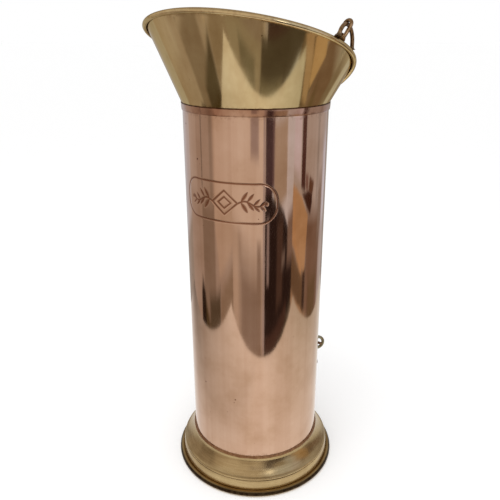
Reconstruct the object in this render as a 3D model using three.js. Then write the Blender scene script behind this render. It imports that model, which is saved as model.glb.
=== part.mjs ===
import * as THREE from "three";

// Copper measuring jug, millimetres, Z up, standing on the floor, pouring side toward -Y.
// Everything is driven by the radius of the copper tube.
const TUBE_RADIUS = 66;
const TUBE_HEIGHT_SHOWN = 5.201 * TUBE_RADIUS;
const TUBE_WALL = 1.2;
const SHEET = 0.9;
const CLEAR = 0.3;
const TURNS = 64;

// Foot: a spun brass skirt above a rolled bottom edge.
const FOOT_HEIGHT = 35.2;
const FOOT_SPREAD = 18.4;
const FOOT_NECK_DROP = 3.8;
const FOOT_RIDGE_SPREAD = 12.6;
const FOOT_RIDGE_HEIGHT = 17.4;
const FOOT_BAND_INSET = 1.7;
const FOOT_ROLL_HEIGHT = 6;
const FOOT_REST_WIDTH = 2.6;

// Tube end, its bottom disc and the belled copper collar under the brass mouth.
const TUBE_END_HEIGHT = 8;
const DISC_RAISE = 4;
const DISC_FLANGE = 8;
const COLLAR_DROP = 6;
const COLLAR_WALL = 1;
const COLLAR_BELL = 0.4;

// Brass mouth: a ruled flare between the joint and a slanted rim with a wired edge.
const JOINT_HEIGHT = FOOT_HEIGHT + TUBE_HEIGHT_SHOWN;
const JOINT_RADIUS = TUBE_RADIUS + 0.7;
const SKIRT_DEPTH = 12;
const BACK_LIP = 0.06 * TUBE_RADIUS;
const LIP_BLEND = 0.02 * TUBE_RADIUS;
const ROLL_RADIUS = 2.1;
const ROLL_SWEEP = THREE.MathUtils.degToRad(275);
const ROLL_STEPS = 7;
const CORE_RADIUS = ROLL_RADIUS - SHEET - 0.35;

// Upright wire ears on the rim, the chain between them and its wire links.
const EAR_AZIMUTH = THREE.MathUtils.degToRad(-9.2);
const EAR_RADIUS = 13.6;
const EAR_WIRE = 1.6;
const LINKS = 21;
const LINK_WIRE = 1.5;
const LINK_WIDTH = 10.8;
const END_LINK_LEAN = 4.2;
const END_LINK_SLIP = THREE.MathUtils.degToRad(12);
const END_LINK_TWIST = THREE.MathUtils.degToRad(22);
const LINK_TWIST = THREE.MathUtils.degToRad(2.3);
const CHAIN_SLACK = 1.2885;

// Low staples on the back of the tube and the drop handle that hangs in them.
const STAPLE_AZIMUTH = THREE.MathUtils.degToRad(45);
const STAPLE_HEIGHT = 120.7;
const STAPLE_WIRE = 1.6;
const STAPLE_RISE = 6.6;
const STAPLE_REACH = 9.9;
const HANDLE_WIRE = 1.4;
const HANDLE_PIN_DROP = 1;
const HANDLE_PIN_LENGTH = 8.3;
const HANDLE_DROP = 24;
const HANDLE_SAG = 7;
const HANDLE_CORNER_AZIMUTH = THREE.MathUtils.degToRad(42.3);
const HANDLE_WRAP_AZIMUTH = THREE.MathUtils.degToRad(53);

const copper = { color: 0xc98f6b, roughness: 0.14, metalness: 1 };
const brass = { color: 0xc2a45c, roughness: 0.2, metalness: 1 };
const brownBrass = { color: 0x6f5836, roughness: 0.38, metalness: 1 };

const jug = new THREE.Group();
jug.name = "copper_measuring_jug";

// Adds one named piece with its own material.
function add(name, geometry, look) {
  const mesh = new THREE.Mesh(geometry, new THREE.MeshStandardMaterial(look));
  mesh.name = name;
  jug.add(mesh);
  return mesh;
}

// Skins a row of rings, each an array of points, into one closed body.
// A looped row joins its last ring to its first; an open row gets two end caps.
function skin(rings, looped) {
  const sides = rings[0].length;
  const points = rings.flat();
  const faces = [];
  const spans = looped ? rings.length : rings.length - 1;
  for (let i = 0; i < spans; i += 1) {
    const here = i * sides;
    const next = ((i + 1) % rings.length) * sides;
    for (let j = 0; j < sides; j += 1) {
      const k = (j + 1) % sides;
      faces.push(here + j, here + k, next + k);
      faces.push(here + j, next + k, next + j);
    }
  }
  if (!looped) {
    const last = (rings.length - 1) * sides;
    for (let j = 1; j < sides - 1; j += 1) {
      faces.push(0, j + 1, j);
      faces.push(last, last + j, last + j + 1);
    }
  }
  const geometry = new THREE.BufferGeometry().setFromPoints(points);
  geometry.setIndex(faces);
  geometry.computeVertexNormals();
  return geometry;
}

// Round wire along a path; the cross-section turns with the path but never spins about it.
function wire(path, radius, sides, looped, firstAcross) {
  const across = firstAcross.clone();
  const rings = path.map((point, i) => {
    const before = path[looped ? (i + path.length - 1) % path.length : Math.max(i - 1, 0)];
    const after = path[looped ? (i + 1) % path.length : Math.min(i + 1, path.length - 1)];
    const along = after.clone().sub(before).normalize();
    across.addScaledVector(along, -across.dot(along)).normalize();
    const up = along.clone().cross(across);
    const ring = [];
    for (let j = 0; j < sides; j += 1) {
      const angle = (j / sides) * 2 * Math.PI;
      const spoke = across.clone().multiplyScalar(Math.cos(angle) * radius);
      ring.push(spoke.addScaledVector(up, Math.sin(angle) * radius).add(point));
    }
    return ring;
  });
  return skin(rings, looped);
}

// A corner polygon turned into a bent wire's centre line, with a bend at each inner corner.
function bent(corners, cutback, steps) {
  const path = [corners[0]];
  for (let i = 1; i < corners.length - 1; i += 1) {
    const cut = cutback[i - 1];
    const from = corners[i].clone().lerp(corners[i - 1], cut / corners[i].distanceTo(corners[i - 1]));
    const to = corners[i].clone().lerp(corners[i + 1], cut / corners[i].distanceTo(corners[i + 1]));
    path.push(...new THREE.QuadraticBezierCurve3(from, corners[i], to).getPoints(steps));
  }
  path.push(corners[corners.length - 1]);
  return path;
}

// A closed profile spun about Z.
function spun(profile) {
  const closed = [...profile, profile[0].clone()];
  const geometry = new THREE.LatheGeometry(closed, TURNS);
  geometry.rotateX(Math.PI / 2);
  return geometry;
}

// Both faces of a spun sheet, from its outer face and its thickness.
function sheet(outer, thickness) {
  const inner = outer.map((point, i) => {
    const before = outer[Math.max(i - 1, 0)];
    const after = outer[Math.min(i + 1, outer.length - 1)];
    const along = after.clone().sub(before).normalize();
    return new THREE.Vector2(point.x + along.y * thickness, point.y - along.x * thickness);
  });
  return [...outer.slice().reverse(), ...inner];
}

// Point at a radius, azimuth and height.
function polar(radius, azimuth, height) {
  return new THREE.Vector3(radius * Math.cos(azimuth), radius * Math.sin(azimuth), height);
}

// Height of the rim above the joint: high at the spout, down to a low lip at the back.
function rimRise(azimuth) {
  const u = azimuth + Math.PI / 2;
  const wave = 0.5818 + 0.5827 * Math.cos(u) - 0.0727 * Math.cos(2 * u) + 0.0185 * Math.cos(3 * u);
  const above = (wave * TUBE_RADIUS - BACK_LIP) / LIP_BLEND;
  return BACK_LIP + LIP_BLEND * Math.log1p(Math.exp(above));
}

// Centre of the rolled rim, the way its sheet climbs and the way the roll lies, at one azimuth.
function rimAt(azimuth) {
  const rise = rimRise(azimuth);
  const slope = 0.537 - 0.1547 * Math.cos(azimuth + Math.PI / 2);
  const edge = new THREE.Vector2(1.0207 * TUBE_RADIUS + slope * rise, JOINT_HEIGHT + rise);
  const climb = edge.clone().sub(new THREE.Vector2(JOINT_RADIUS, JOINT_HEIGHT)).normalize();
  const outward = new THREE.Vector2(climb.y, -climb.x);
  const centre = edge.addScaledVector(climb, -0.6 * ROLL_RADIUS);
  return { centre, climb, outward };
}

// Section of the brass mouth at one azimuth: neck, flare and the sheet rolled over the core wire.
function mouthSection(azimuth) {
  const { centre, climb, outward } = rimAt(azimuth);
  const neckRadius = TUBE_RADIUS - TUBE_WALL - CLEAR;
  const bottom = JOINT_HEIGHT - SKIRT_DEPTH;
  const top = JOINT_HEIGHT + CLEAR;
  const start = new THREE.Vector2(JOINT_RADIUS, top);
  const roll = (angle, radius) =>
    centre
      .clone()
      .addScaledVector(outward, -Math.cos(angle) * radius)
      .addScaledVector(climb, Math.sin(angle) * radius);
  const outer = [
    new THREE.Vector2(neckRadius, bottom),
    new THREE.Vector2(neckRadius, top),
    start,
  ];
  const inside = start.clone().addScaledVector(outward, -SHEET).addScaledVector(climb, 0.5 * SHEET);
  const inner = [
    inside,
    new THREE.Vector2(neckRadius - SHEET, top + 0.6 * SHEET),
    new THREE.Vector2(neckRadius - SHEET, bottom),
  ];
  const section = [...outer];
  for (let i = 0; i <= ROLL_STEPS; i += 1) {
    section.push(roll((i / ROLL_STEPS) * ROLL_SWEEP, ROLL_RADIUS - SHEET));
  }
  for (let i = ROLL_STEPS; i >= 0; i -= 1) {
    section.push(roll((i / ROLL_STEPS) * ROLL_SWEEP, ROLL_RADIUS));
  }
  return [...section, ...inner].map((p) => polar(p.x, azimuth, p.y));
}

// Azimuths shared by every round piece, so that neighbouring facets stay parallel.
const azimuths = Array.from({ length: TURNS }, (_, i) => (i / TURNS) * 2 * Math.PI);

// Copper tube, open at the top; its lower end stands inside the foot.
const tubeInside = TUBE_RADIUS - TUBE_WALL;
const tubeTop = JOINT_HEIGHT;
add(
  "copper_tube",
  spun([
    new THREE.Vector2(tubeInside, TUBE_END_HEIGHT),
    new THREE.Vector2(TUBE_RADIUS, TUBE_END_HEIGHT),
    new THREE.Vector2(TUBE_RADIUS, tubeTop),
    new THREE.Vector2(tubeInside, tubeTop),
  ]),
  copper,
);

// Copper collar, slightly belled, round the tube under the mouth.
const collarInside = TUBE_RADIUS + CLEAR;
const collarOutside = collarInside + COLLAR_WALL;
add(
  "copper_collar",
  spun([
    new THREE.Vector2(collarInside, tubeTop - COLLAR_DROP),
    new THREE.Vector2(collarOutside - COLLAR_BELL, tubeTop - COLLAR_DROP),
    new THREE.Vector2(collarOutside, tubeTop - 0.4 * COLLAR_DROP),
    new THREE.Vector2(collarOutside, tubeTop),
    new THREE.Vector2(collarInside, tubeTop),
  ]),
  copper,
);

// Dished bottom disc, its flange turned up inside the tube.
const discRadius = tubeInside - CLEAR;
const discHeight = TUBE_END_HEIGHT + DISC_RAISE;
add(
  "bottom_disc",
  new THREE.LatheGeometry(
    [
      new THREE.Vector2(0, discHeight),
      new THREE.Vector2(discRadius, discHeight),
      new THREE.Vector2(discRadius, discHeight + DISC_FLANGE),
      new THREE.Vector2(discRadius - SHEET, discHeight + DISC_FLANGE),
      new THREE.Vector2(discRadius - SHEET, discHeight + SHEET),
      new THREE.Vector2(0, discHeight + SHEET),
    ],
    TURNS,
  ).rotateX(Math.PI / 2),
  copper,
);

// Foot skirt: a short neck, a hollow cone, a raised ridge and a nearly upright band.
const rollHalf = FOOT_ROLL_HEIGHT / 2;
const rollCentre = TUBE_RADIUS + FOOT_SPREAD - rollHalf;
const bandRadius = rollCentre - FOOT_BAND_INSET;
const ridgeRadius = TUBE_RADIUS + FOOT_RIDGE_SPREAD;
const flatAngle = Math.asin(FOOT_REST_WIDTH / 2 / rollHalf);
const rollMiddle = rollHalf * Math.cos(flatAngle);
const skirtEnd = rollMiddle + Math.sqrt((rollHalf + 0.8 * CLEAR) ** 2 - FOOT_BAND_INSET ** 2);
const neckOutside = TUBE_RADIUS + CLEAR + SHEET;
const coneHeight = FOOT_HEIGHT - FOOT_NECK_DROP;
const flat = (x, y) => new THREE.Vector2(x, y);
const neckTop = flat(neckOutside, FOOT_HEIGHT);
const coneTop = flat(neckOutside + 0.1, coneHeight);
const ridgeTop = flat(ridgeRadius - 1.4, FOOT_RIDGE_HEIGHT + 1.1);
const ridgeFoot = flat(ridgeRadius - 0.3, FOOT_RIDGE_HEIGHT - 1.5);
const skirtFoot = flat(bandRadius, skirtEnd);
const footBands = [
  [neckTop, flat(neckOutside, coneHeight + 1.9), coneTop, 1],
  [coneTop, flat(neckOutside + 3.5, FOOT_RIDGE_HEIGHT + 6.3), ridgeTop, 4],
  [ridgeTop, flat(ridgeRadius + 0.5, FOOT_RIDGE_HEIGHT + 0.6), ridgeFoot, 2],
  [ridgeFoot, flat(bandRadius - 0.2, FOOT_RIDGE_HEIGHT - 3), skirtFoot, 3],
];
const footOuter = [neckTop];
for (const [from, pull, to, steps] of footBands) {
  footOuter.push(...new THREE.QuadraticBezierCurve(from, pull, to).getPoints(steps).slice(1));
}
add("foot_skirt", spun(sheet(footOuter, SHEET)), brass);

// Rolled bottom edge of the foot, with a narrow flat ring that stands on the floor.
const rollProfile = [];
for (let i = 0; i <= 8; i += 1) {
  const angle = -Math.PI / 2 + flatAngle + (i / 8) * (2 * Math.PI - 2 * flatAngle);
  const height = rollMiddle + rollHalf * Math.sin(angle);
  rollProfile.push(new THREE.Vector2(rollCentre + rollHalf * Math.cos(angle), height));
}
add("foot_roll", spun(rollProfile), brownBrass);

// Brass mouth and the core wire inside its rolled rim.
add("mouth_flare", skin(azimuths.map(mouthSection).reverse(), true), brass);
add(
  "rim_core_wire",
  skin(
    azimuths.map((azimuth) => {
      const { centre, climb, outward } = rimAt(azimuth);
      const ring = [];
      for (let i = 0; i < 6; i += 1) {
        const angle = (i / 6) * 2 * Math.PI;
        const spot = centre.clone().addScaledVector(outward, -Math.cos(angle) * CORE_RADIUS);
        spot.addScaledVector(climb, Math.sin(angle) * CORE_RADIUS);
        ring.push(polar(spot.x, azimuth, spot.y));
      }
      return ring;
    }),
    true,
  ),
  brass,
);

// Azimuth at which the rolled rim passes a given Y on the +X side.
function rimAzimuthAtY(y) {
  let low = -Math.PI / 3;
  let high = Math.PI / 6;
  for (let i = 0; i < 40; i += 1) {
    const middle = (low + high) / 2;
    if (rimAt(middle).centre.x * Math.sin(middle) < y) low = middle;
    else high = middle;
  }
  return low;
}

// Centre of each ear's arch: on the rim, in a plane across the jug.
const earRim = rimAt(EAR_AZIMUTH).centre;
const earCentre = polar(earRim.x, EAR_AZIMUTH, earRim.y + ROLL_RADIUS);

// Upright arch of wire whose two legs stand on the slanted rolled rim.
function earPath(side) {
  const foot = (y) => {
    const rim = rimAt(rimAzimuthAtY(y)).centre;
    return new THREE.Vector3(side * earCentre.x, y, rim.y + ROLL_RADIUS + CLEAR + 0.6);
  };
  const front = foot(earCentre.y - EAR_RADIUS);
  const back = foot(earCentre.y + EAR_RADIUS);
  const path = [back];
  const startAngle = 0;
  const endAngle = Math.PI - Math.asin((front.z - earCentre.z) / EAR_RADIUS);
  for (let i = 0; i <= 14; i += 1) {
    const angle = startAngle + (i / 14) * (endAngle - startAngle);
    const y = earCentre.y + EAR_RADIUS * Math.cos(angle);
    const z = earCentre.z + EAR_RADIUS * Math.sin(angle);
    path.push(new THREE.Vector3(side * earCentre.x, y, z));
  }
  return path;
}
add("ear_right", wire(earPath(1), EAR_WIRE, 8, false, new THREE.Vector3(1, 0, 0)), brownBrass);
add("ear_left", wire(earPath(-1), EAR_WIRE, 8, false, new THREE.Vector3(1, 0, 0)), brownBrass);

// Chain: end links ride over the ears, the others hang between them along a catenary.
// The chain keeps its links and its slack, so the pitch of a link follows from the span.
const perSide = (LINKS - 1) / 2;
const halfSpan = earCentre.x - END_LINK_LEAN;
const pitch = (CHAIN_SLACK * halfSpan) / (perSide - 0.5);
const hook = LINK_WIRE + CLEAR / 2;
const linkHalf = pitch / 2 + hook;
const linkRound = LINK_WIDTH / 2 - LINK_WIRE;
const overEar = EAR_WIRE + LINK_WIRE + CLEAR;

// One oval link of round wire, from its middle, its long way and its wide way.
function link(middle, along, wide) {
  const path = [];
  const straight = linkHalf - linkRound;
  for (let end = 1; end >= -1; end -= 2) {
    for (let i = 0; i <= 7; i += 1) {
      const angle = (i / 7) * Math.PI;
      const reach = end * (straight + linkRound * Math.sin(angle));
      const spread = end * linkRound * Math.cos(angle);
      path.push(middle.clone().addScaledVector(along, reach).addScaledVector(wide, spread));
    }
  }
  const normal = along.clone().cross(wide);
  return wire(path, LINK_WIRE, 6, true, normal);
}

// Where an end link crosses its ear, and where its lower end meets the next link.
const crossing = new THREE.Vector3(
  earCentre.x,
  earCentre.y + EAR_RADIUS * Math.sin(END_LINK_SLIP),
  earCentre.z + EAR_RADIUS * Math.cos(END_LINK_SLIP),
);
const endReach = 2 * linkHalf - hook - overEar;
const endOffset = crossing.y - earCentre.y;
const endDrop = Math.sqrt(endReach ** 2 - END_LINK_LEAN ** 2 - endOffset ** 2);
const chainTop = crossing.z - endDrop;

// Points of a catenary cut into equal chords, found by shooting along it from the lowest point.
function hang(scale, count) {
  const heights = (x) => scale * (Math.cosh(x / scale) - 1);
  const spots = [];
  let x = pitch / 2;
  spots.push(x);
  while (spots.length < count) {
    let near = x;
    let far = x + pitch;
    for (let i = 0; i < 40; i += 1) {
      const trial = (near + far) / 2;
      const chord = Math.hypot(trial - x, heights(trial) - heights(x));
      if (chord < pitch) near = trial;
      else far = trial;
    }
    x = near;
    spots.push(x);
  }
  return { spots, heights };
}

// Scale of the catenary whose chords just span the gap between the end links.
let tight = halfSpan / 4;
let slack = 5 * halfSpan;
for (let i = 0; i < 60; i += 1) {
  const scale = (tight + slack) / 2;
  const reach = hang(scale, perSide).spots[perSide - 1];
  if (reach > halfSpan) slack = scale;
  else tight = scale;
}
const { spots, heights } = hang(tight, perSide);
const lowest = chainTop - heights(spots[perSide - 1]);
const joints = spots.map((x) => new THREE.Vector3(x, earCentre.y, lowest + heights(x))).reverse();
joints.push(new THREE.Vector3(-joints[perSide - 1].x, joints[perSide - 1].y, joints[perSide - 1].z));

// Places of the links from the right ear to the lowest one; each is turned a quarter from the last.
const places = [];
let acrossLink = new THREE.Vector3(Math.cos(END_LINK_TWIST), -Math.sin(END_LINK_TWIST), 0);
for (let step = 0; step <= perSide; step += 1) {
  let middle;
  let along;
  if (step === 0) {
    along = new THREE.Vector3(-END_LINK_LEAN, -endOffset, -endDrop).normalize();
    middle = crossing.clone().addScaledVector(along, linkHalf - overEar);
  } else {
    along = joints[step].clone().sub(joints[step - 1]).normalize();
    middle = joints[step].clone().lerp(joints[step - 1], 0.5);
  }
  const wide = acrossLink.clone().addScaledVector(along, -acrossLink.dot(along)).normalize();
  places.push([middle, along, wide]);
  acrossLink = along.clone().cross(wide).applyAxisAngle(along, LINK_TWIST);
}
for (let i = 0; i < LINKS; i += 1) {
  const name = "chain_link_" + String(i + 1).padStart(2, "0");
  const place = places[Math.min(i, LINKS - 1 - i)].map((vector) => vector.clone());
  if (i > perSide) place.forEach((vector) => vector.setX(-vector.x));
  add(name, link(...place), brownBrass);
}

// Staples: half rings of wire standing out from the back quarters of the tube.
function staplePath(azimuth) {
  const straight = STAPLE_REACH - STAPLE_RISE;
  const root = TUBE_RADIUS + CLEAR + 0.1;
  const path = [polar(root, azimuth, STAPLE_HEIGHT - STAPLE_RISE)];
  for (let i = 0; i <= 12; i += 1) {
    const angle = -Math.PI / 2 + (i / 12) * Math.PI;
    const reach = TUBE_RADIUS + straight + STAPLE_RISE * Math.cos(angle);
    path.push(polar(reach, azimuth, STAPLE_HEIGHT + STAPLE_RISE * Math.sin(angle)));
  }
  path.push(polar(root, azimuth, STAPLE_HEIGHT + STAPLE_RISE));
  return path;
}
for (const [name, azimuth] of [
  ["staple_right", STAPLE_AZIMUTH],
  ["staple_left", Math.PI - STAPLE_AZIMUTH],
]) {
  const across = new THREE.Vector3(-Math.sin(azimuth), Math.cos(azimuth), 0);
  add(name, wire(staplePath(azimuth), STAPLE_WIRE, 8, false, across), brownBrass);
}

// Drop handle: its pins point outward through the staples, its bow hangs round the tube.
const barReach = (TUBE_RADIUS + STAPLE_REACH) * Math.sin(STAPLE_AZIMUTH);
const pinY = barReach - STAPLE_WIRE - HANDLE_WIRE - CLEAR;
const pinZ = STAPLE_HEIGHT - HANDLE_PIN_DROP;
const armX = pinY - (STAPLE_WIRE + HANDLE_WIRE + CLEAR + 0.02) * Math.SQRT2;
const wrapRadius = TUBE_RADIUS + HANDLE_WIRE + 0.5;
const cornerRadius = wrapRadius + 1.1;
const bowZ = pinZ - HANDLE_DROP;
const cornerSpot = polar(cornerRadius, HANDLE_CORNER_AZIMUTH, bowZ);
const arm = bent(
  [
    new THREE.Vector3(armX + HANDLE_PIN_LENGTH, pinY, pinZ),
    new THREE.Vector3(armX, pinY, pinZ),
    new THREE.Vector3(armX, pinY, pinZ - 12),
    cornerSpot,
    polar(wrapRadius, HANDLE_WRAP_AZIMUTH, bowZ - 2),
  ],
  [2.4, 4, 3.4],
  4,
);
arm.pop();
const bow = [];
for (let i = 0; i <= 20; i += 1) {
  const share = i / 20;
  const azimuth = HANDLE_WRAP_AZIMUTH + share * (Math.PI - 2 * HANDLE_WRAP_AZIMUTH);
  bow.push(polar(wrapRadius, azimuth, bowZ - 2 - HANDLE_SAG * Math.sin(share * Math.PI)));
}
const otherArm = arm.map((point) => new THREE.Vector3(-point.x, point.y, point.z)).reverse();
add(
  "drop_handle",
  wire([...arm, ...bow, ...otherArm], HANDLE_WIRE, 8, false, new THREE.Vector3(0, 1, 0)),
  brownBrass,
);

export default jug;
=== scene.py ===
# %% [markdown]
# A copper measuring jug with a slanted brass mouth.
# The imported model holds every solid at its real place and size. This script loads it as a fixed
# frame, then makes the fine skin of each piece and its metal: rolled and polished copper for the
# tube, sheet brass for the mouth, spun brass for the foot, and wire that has gone brown with age.

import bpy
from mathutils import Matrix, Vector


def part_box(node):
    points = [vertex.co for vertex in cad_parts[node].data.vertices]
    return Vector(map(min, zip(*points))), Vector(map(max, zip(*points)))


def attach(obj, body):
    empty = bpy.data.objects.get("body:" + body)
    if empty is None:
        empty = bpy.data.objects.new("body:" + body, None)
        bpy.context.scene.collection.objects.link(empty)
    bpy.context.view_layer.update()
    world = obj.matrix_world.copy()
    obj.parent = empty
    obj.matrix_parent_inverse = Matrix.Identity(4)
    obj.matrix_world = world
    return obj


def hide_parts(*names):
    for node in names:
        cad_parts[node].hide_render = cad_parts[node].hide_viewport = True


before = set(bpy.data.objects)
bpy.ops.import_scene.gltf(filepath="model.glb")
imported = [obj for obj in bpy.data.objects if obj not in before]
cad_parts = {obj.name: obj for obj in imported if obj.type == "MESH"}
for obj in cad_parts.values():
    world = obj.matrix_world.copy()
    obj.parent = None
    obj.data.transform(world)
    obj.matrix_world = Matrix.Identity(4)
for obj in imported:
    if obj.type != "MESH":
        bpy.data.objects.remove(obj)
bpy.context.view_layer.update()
print("pieces in the frame:", len(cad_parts))

# %% [markdown]
# Blender works in metres and stores colours as linear light. Sizes on a jug are thought of in
# millimetres and colours are read off a screen, so one value and one function translate them.
# Typing linear colours would do as well, but nobody can picture them.

# %% Units and colours
import math

import bmesh
import bpy
import numpy as np
from mathutils import Matrix, Vector

MM = 0.001


def linear(code):
    """A screen colour such as #C9A78A as linear red, green, blue and alpha."""
    parts = [int(code[i : i + 2], 16) / 255 for i in (1, 3, 5)]
    return tuple(c / 12.92 if c <= 0.04045 else ((c + 0.055) / 1.055) ** 2.4 for c in parts) + (1.0,)


print("screen grey #808080 is %.3f as linear light" % linear("#808080")[0])

# %% [markdown]
# The jug's own sizes are measured on the frame, so the fine skins always fit the solids that
# they cover. Its origin is the middle of the foot on the floor, Z is up and it pours toward -Y.
# The sheets' thicknesses and the play between two pieces can't be read from a box, so they are
# given here as they are in the solids.

# %% Sizes taken from the frame
tube_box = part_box("copper_tube")
collar_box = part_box("copper_collar")
skirt_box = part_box("foot_skirt")
roll_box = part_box("foot_roll")
TUBE_RADIUS = tube_box[1].x
JOINT_HEIGHT = tube_box[1].z
TUBE_FOOT = tube_box[0].z
FOOT_RADIUS = roll_box[1].x
FOOT_HEIGHT = skirt_box[1].z
TUBE_WALL = 1.2 * MM
SHEET = 0.9 * MM
GAP = 0.3 * MM
print("tube radius %.1f mm, joint %.1f mm up" % (TUBE_RADIUS / MM, JOINT_HEIGHT / MM))

# %% [markdown]
# The camera was worked out from the photograph by fitting the tube's edges, the joint and the
# foot's ellipse, which is surer than moving it by eye. It stands 520 mm from the jug's axis, a
# little lower than the top of the spout. The Standard view transform leaves the colours alone.

# %% Camera
CAMERA_REACH = 519.9 * MM
CAMERA_HEIGHT = 432.6 * MM
CAMERA_AZIMUTH = math.radians(-58)
CAMERA_PITCH = math.radians(20.885)
CAMERA_YAW = math.radians(-0.59)
CAMERA_ROLL = math.radians(-0.117)
LENS = 40.236

heading = CAMERA_AZIMUTH + math.pi - CAMERA_YAW
looking = Vector((math.cos(heading), math.sin(heading), -math.tan(CAMERA_PITCH))).normalized()
camera = bpy.data.objects.new("camera", bpy.data.cameras.new("camera"))
camera.data.lens = LENS
camera.location = (
    CAMERA_REACH * math.cos(CAMERA_AZIMUTH),
    CAMERA_REACH * math.sin(CAMERA_AZIMUTH),
    CAMERA_HEIGHT,
)
turn = looking.to_track_quat("-Z", "Y").to_matrix().to_4x4() @ Matrix.Rotation(CAMERA_ROLL, 4, "Z")
camera.rotation_euler = turn.to_euler()
bpy.context.scene.collection.objects.link(camera)
bpy.context.scene.camera = camera
bpy.context.scene.view_settings.view_transform = "Standard"
print("camera looks along", [round(v, 4) for v in looking])

# %% [markdown]
# A material is a small network of nodes. One function adds any node, sets its values and wires
# its inputs, so a network reads as a list of steps. An input goes by its name, or by its number
# where several share a name: in a Mix of colours 0 is the amount, 6 the colour under and 7 the
# colour over, and in a Map Range 1 to 4 are the range that comes in and the range that goes out.
# A node used as a source stands for its first output.
#
# Texture sizes are given as the real size of one pattern cell: object coordinates are in metres,
# so the scale is one over that size. Nearly all of a noise lies between 0.3 and 0.7, so that is
# the range that its colours and its roughness are spread over.

# %% Node helper
def wire(tree, made, links):
    """Links inputs, by name or by _number, to the outputs that feed them."""
    for key, source in links.items():
        socket = made.inputs[int(key[1:])] if key[1:].isdigit() else made.inputs[key.replace("_", " ")]
        tree.links.new(getattr(source, "outputs", [source])[0], socket)


def node(tree, kind, settings=None, **links):
    """Adds a node with its attributes, colour stops and unlinked inputs from settings, and its links."""
    made = tree.nodes.new("ShaderNode" + kind)
    for key, value in (settings or {}).items():
        if key == "stops":
            stops = made.color_ramp.elements
            while len(stops) < len(value):
                stops.new(0.5)
            for stop, (position, code) in zip(stops, value):
                stop.position = position
                stop.color = linear(code)
        elif isinstance(key, str) and hasattr(made, key):
            setattr(made, key, value)
        else:
            made.inputs[key].default_value = value
    wire(tree, made, links)
    return made


def per(size):
    """Texture scale that gives cells of this size in metres."""
    return 1 / size


def new_metal(name):
    """An empty metal with its node tree and its shader."""
    material = bpy.data.materials.new(name)
    material.use_nodes = True
    shader = material.node_tree.nodes["Principled BSDF"]
    shader.inputs["Metallic"].default_value = 1.0
    return material, material.node_tree, shader


COVER = {"data_type": "RGBA"}
MULTIPLY = {"data_type": "RGBA", "blend_type": "MULTIPLY"}
NOISE_RANGE = {1: 0.3, 2: 0.7}
CLOUD_STOPS = (0.3, 0.5, 0.7)
print("a pattern with cells of 36 mm has a scale of %.1f" % per(36 * MM))

# %% [markdown]
# Old polished metal is never clean all over. Here and there a drop was left and ate a dark speck.
# They could be placed one by one, but a pattern covers every side at once. Voronoi cells scatter
# the specks: each cell has one seed point, and a random colour of the cell says how wide its speck
# is. Raising that number to the fourth power leaves most cells with almost none.

# %% Specks
SPECK_POWER = 4.0
NOT_ZERO = 0.0001
print("cells with a speck over half the widest: %.0f percent" % (100 - 100 * 0.5 ** (1 / SPECK_POWER)))


def specks(tree, place, cell, widest):
    """Mask of round specks, at most one in a cell of this size and at most this wide."""
    cells = node(tree, "TexVoronoi", {"Scale": per(cell)}, Vector=place)
    chance = node(tree, "Math", {"operation": "POWER", 1: SPECK_POWER}, _0=cells.outputs["Color"])
    width = {"operation": "MULTIPLY_ADD", 1: 0.5 * widest / cell, 2: NOT_ZERO}
    reach = node(tree, "Math", width, _0=chance)
    share = node(tree, "Math", {"operation": "DIVIDE"}, _0=cells.outputs["Distance"], _1=reach)
    return node(tree, "MapRange", {1: 1.2, 2: 0.7, 3: 0, 4: 1}, _0=share)


# %% [markdown]
# The tube is sheet copper and the mouth is sheet brass, both rolled round, brazed along the back
# and polished by hand with a rag drawn up and down. Real polished sheet keeps four things that a
# plain mirror lacks: faint drag lines along the rag's way, a slow waviness from the rolling, warm
# clouds where it has begun to tarnish, and the specks. Scratches could be painted on, but noise
# stretched along the rag's way never repeats and fits any side. Real drag lines lie 0.1 mm apart,
# finer than a pixel, so they are drawn 1.2 mm apart.
#
# Three numbers stored on the mesh steer the rest: "engraved" is 1 in a cut, where old polish and
# dirt lie, the brown number is 1 where heat or damp has browned the metal beside a joint and where
# shade is painted under the mouth's roll, and "brazed" is 1 on the yellow line of hard solder along
# the seam. A metal seen at a flat angle turns paler than its own colour, and the shader's specular
# tint sets how pale.

# %% Polished sheet
RAG_LINE = 1.2 * MM
RAG_STREAK = 8 * MM
RAG_STRETCH = (1, 1, 0.03)
TARNISH_CLOUD = 36 * MM
SHEET_GRIME = 3.5 * MM
ROLLING_WAVE = 24 * MM
SPECK_CELL = 9 * MM
SPECK_WIDEST = 2.6 * MM
# Brown of heat tarnish, also laid on as painted shade under the mouth's roll.
TARNISH_AND_SHADE_BROWN = "#6A3F28"
HARD_SOLDER = "#B8965A"
CUT_DIRT = "#84543A"
print("drag lines %.1f mm apart, tarnish clouds of %.0f mm" % (RAG_LINE / MM, TARNISH_CLOUD / MM))


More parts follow.
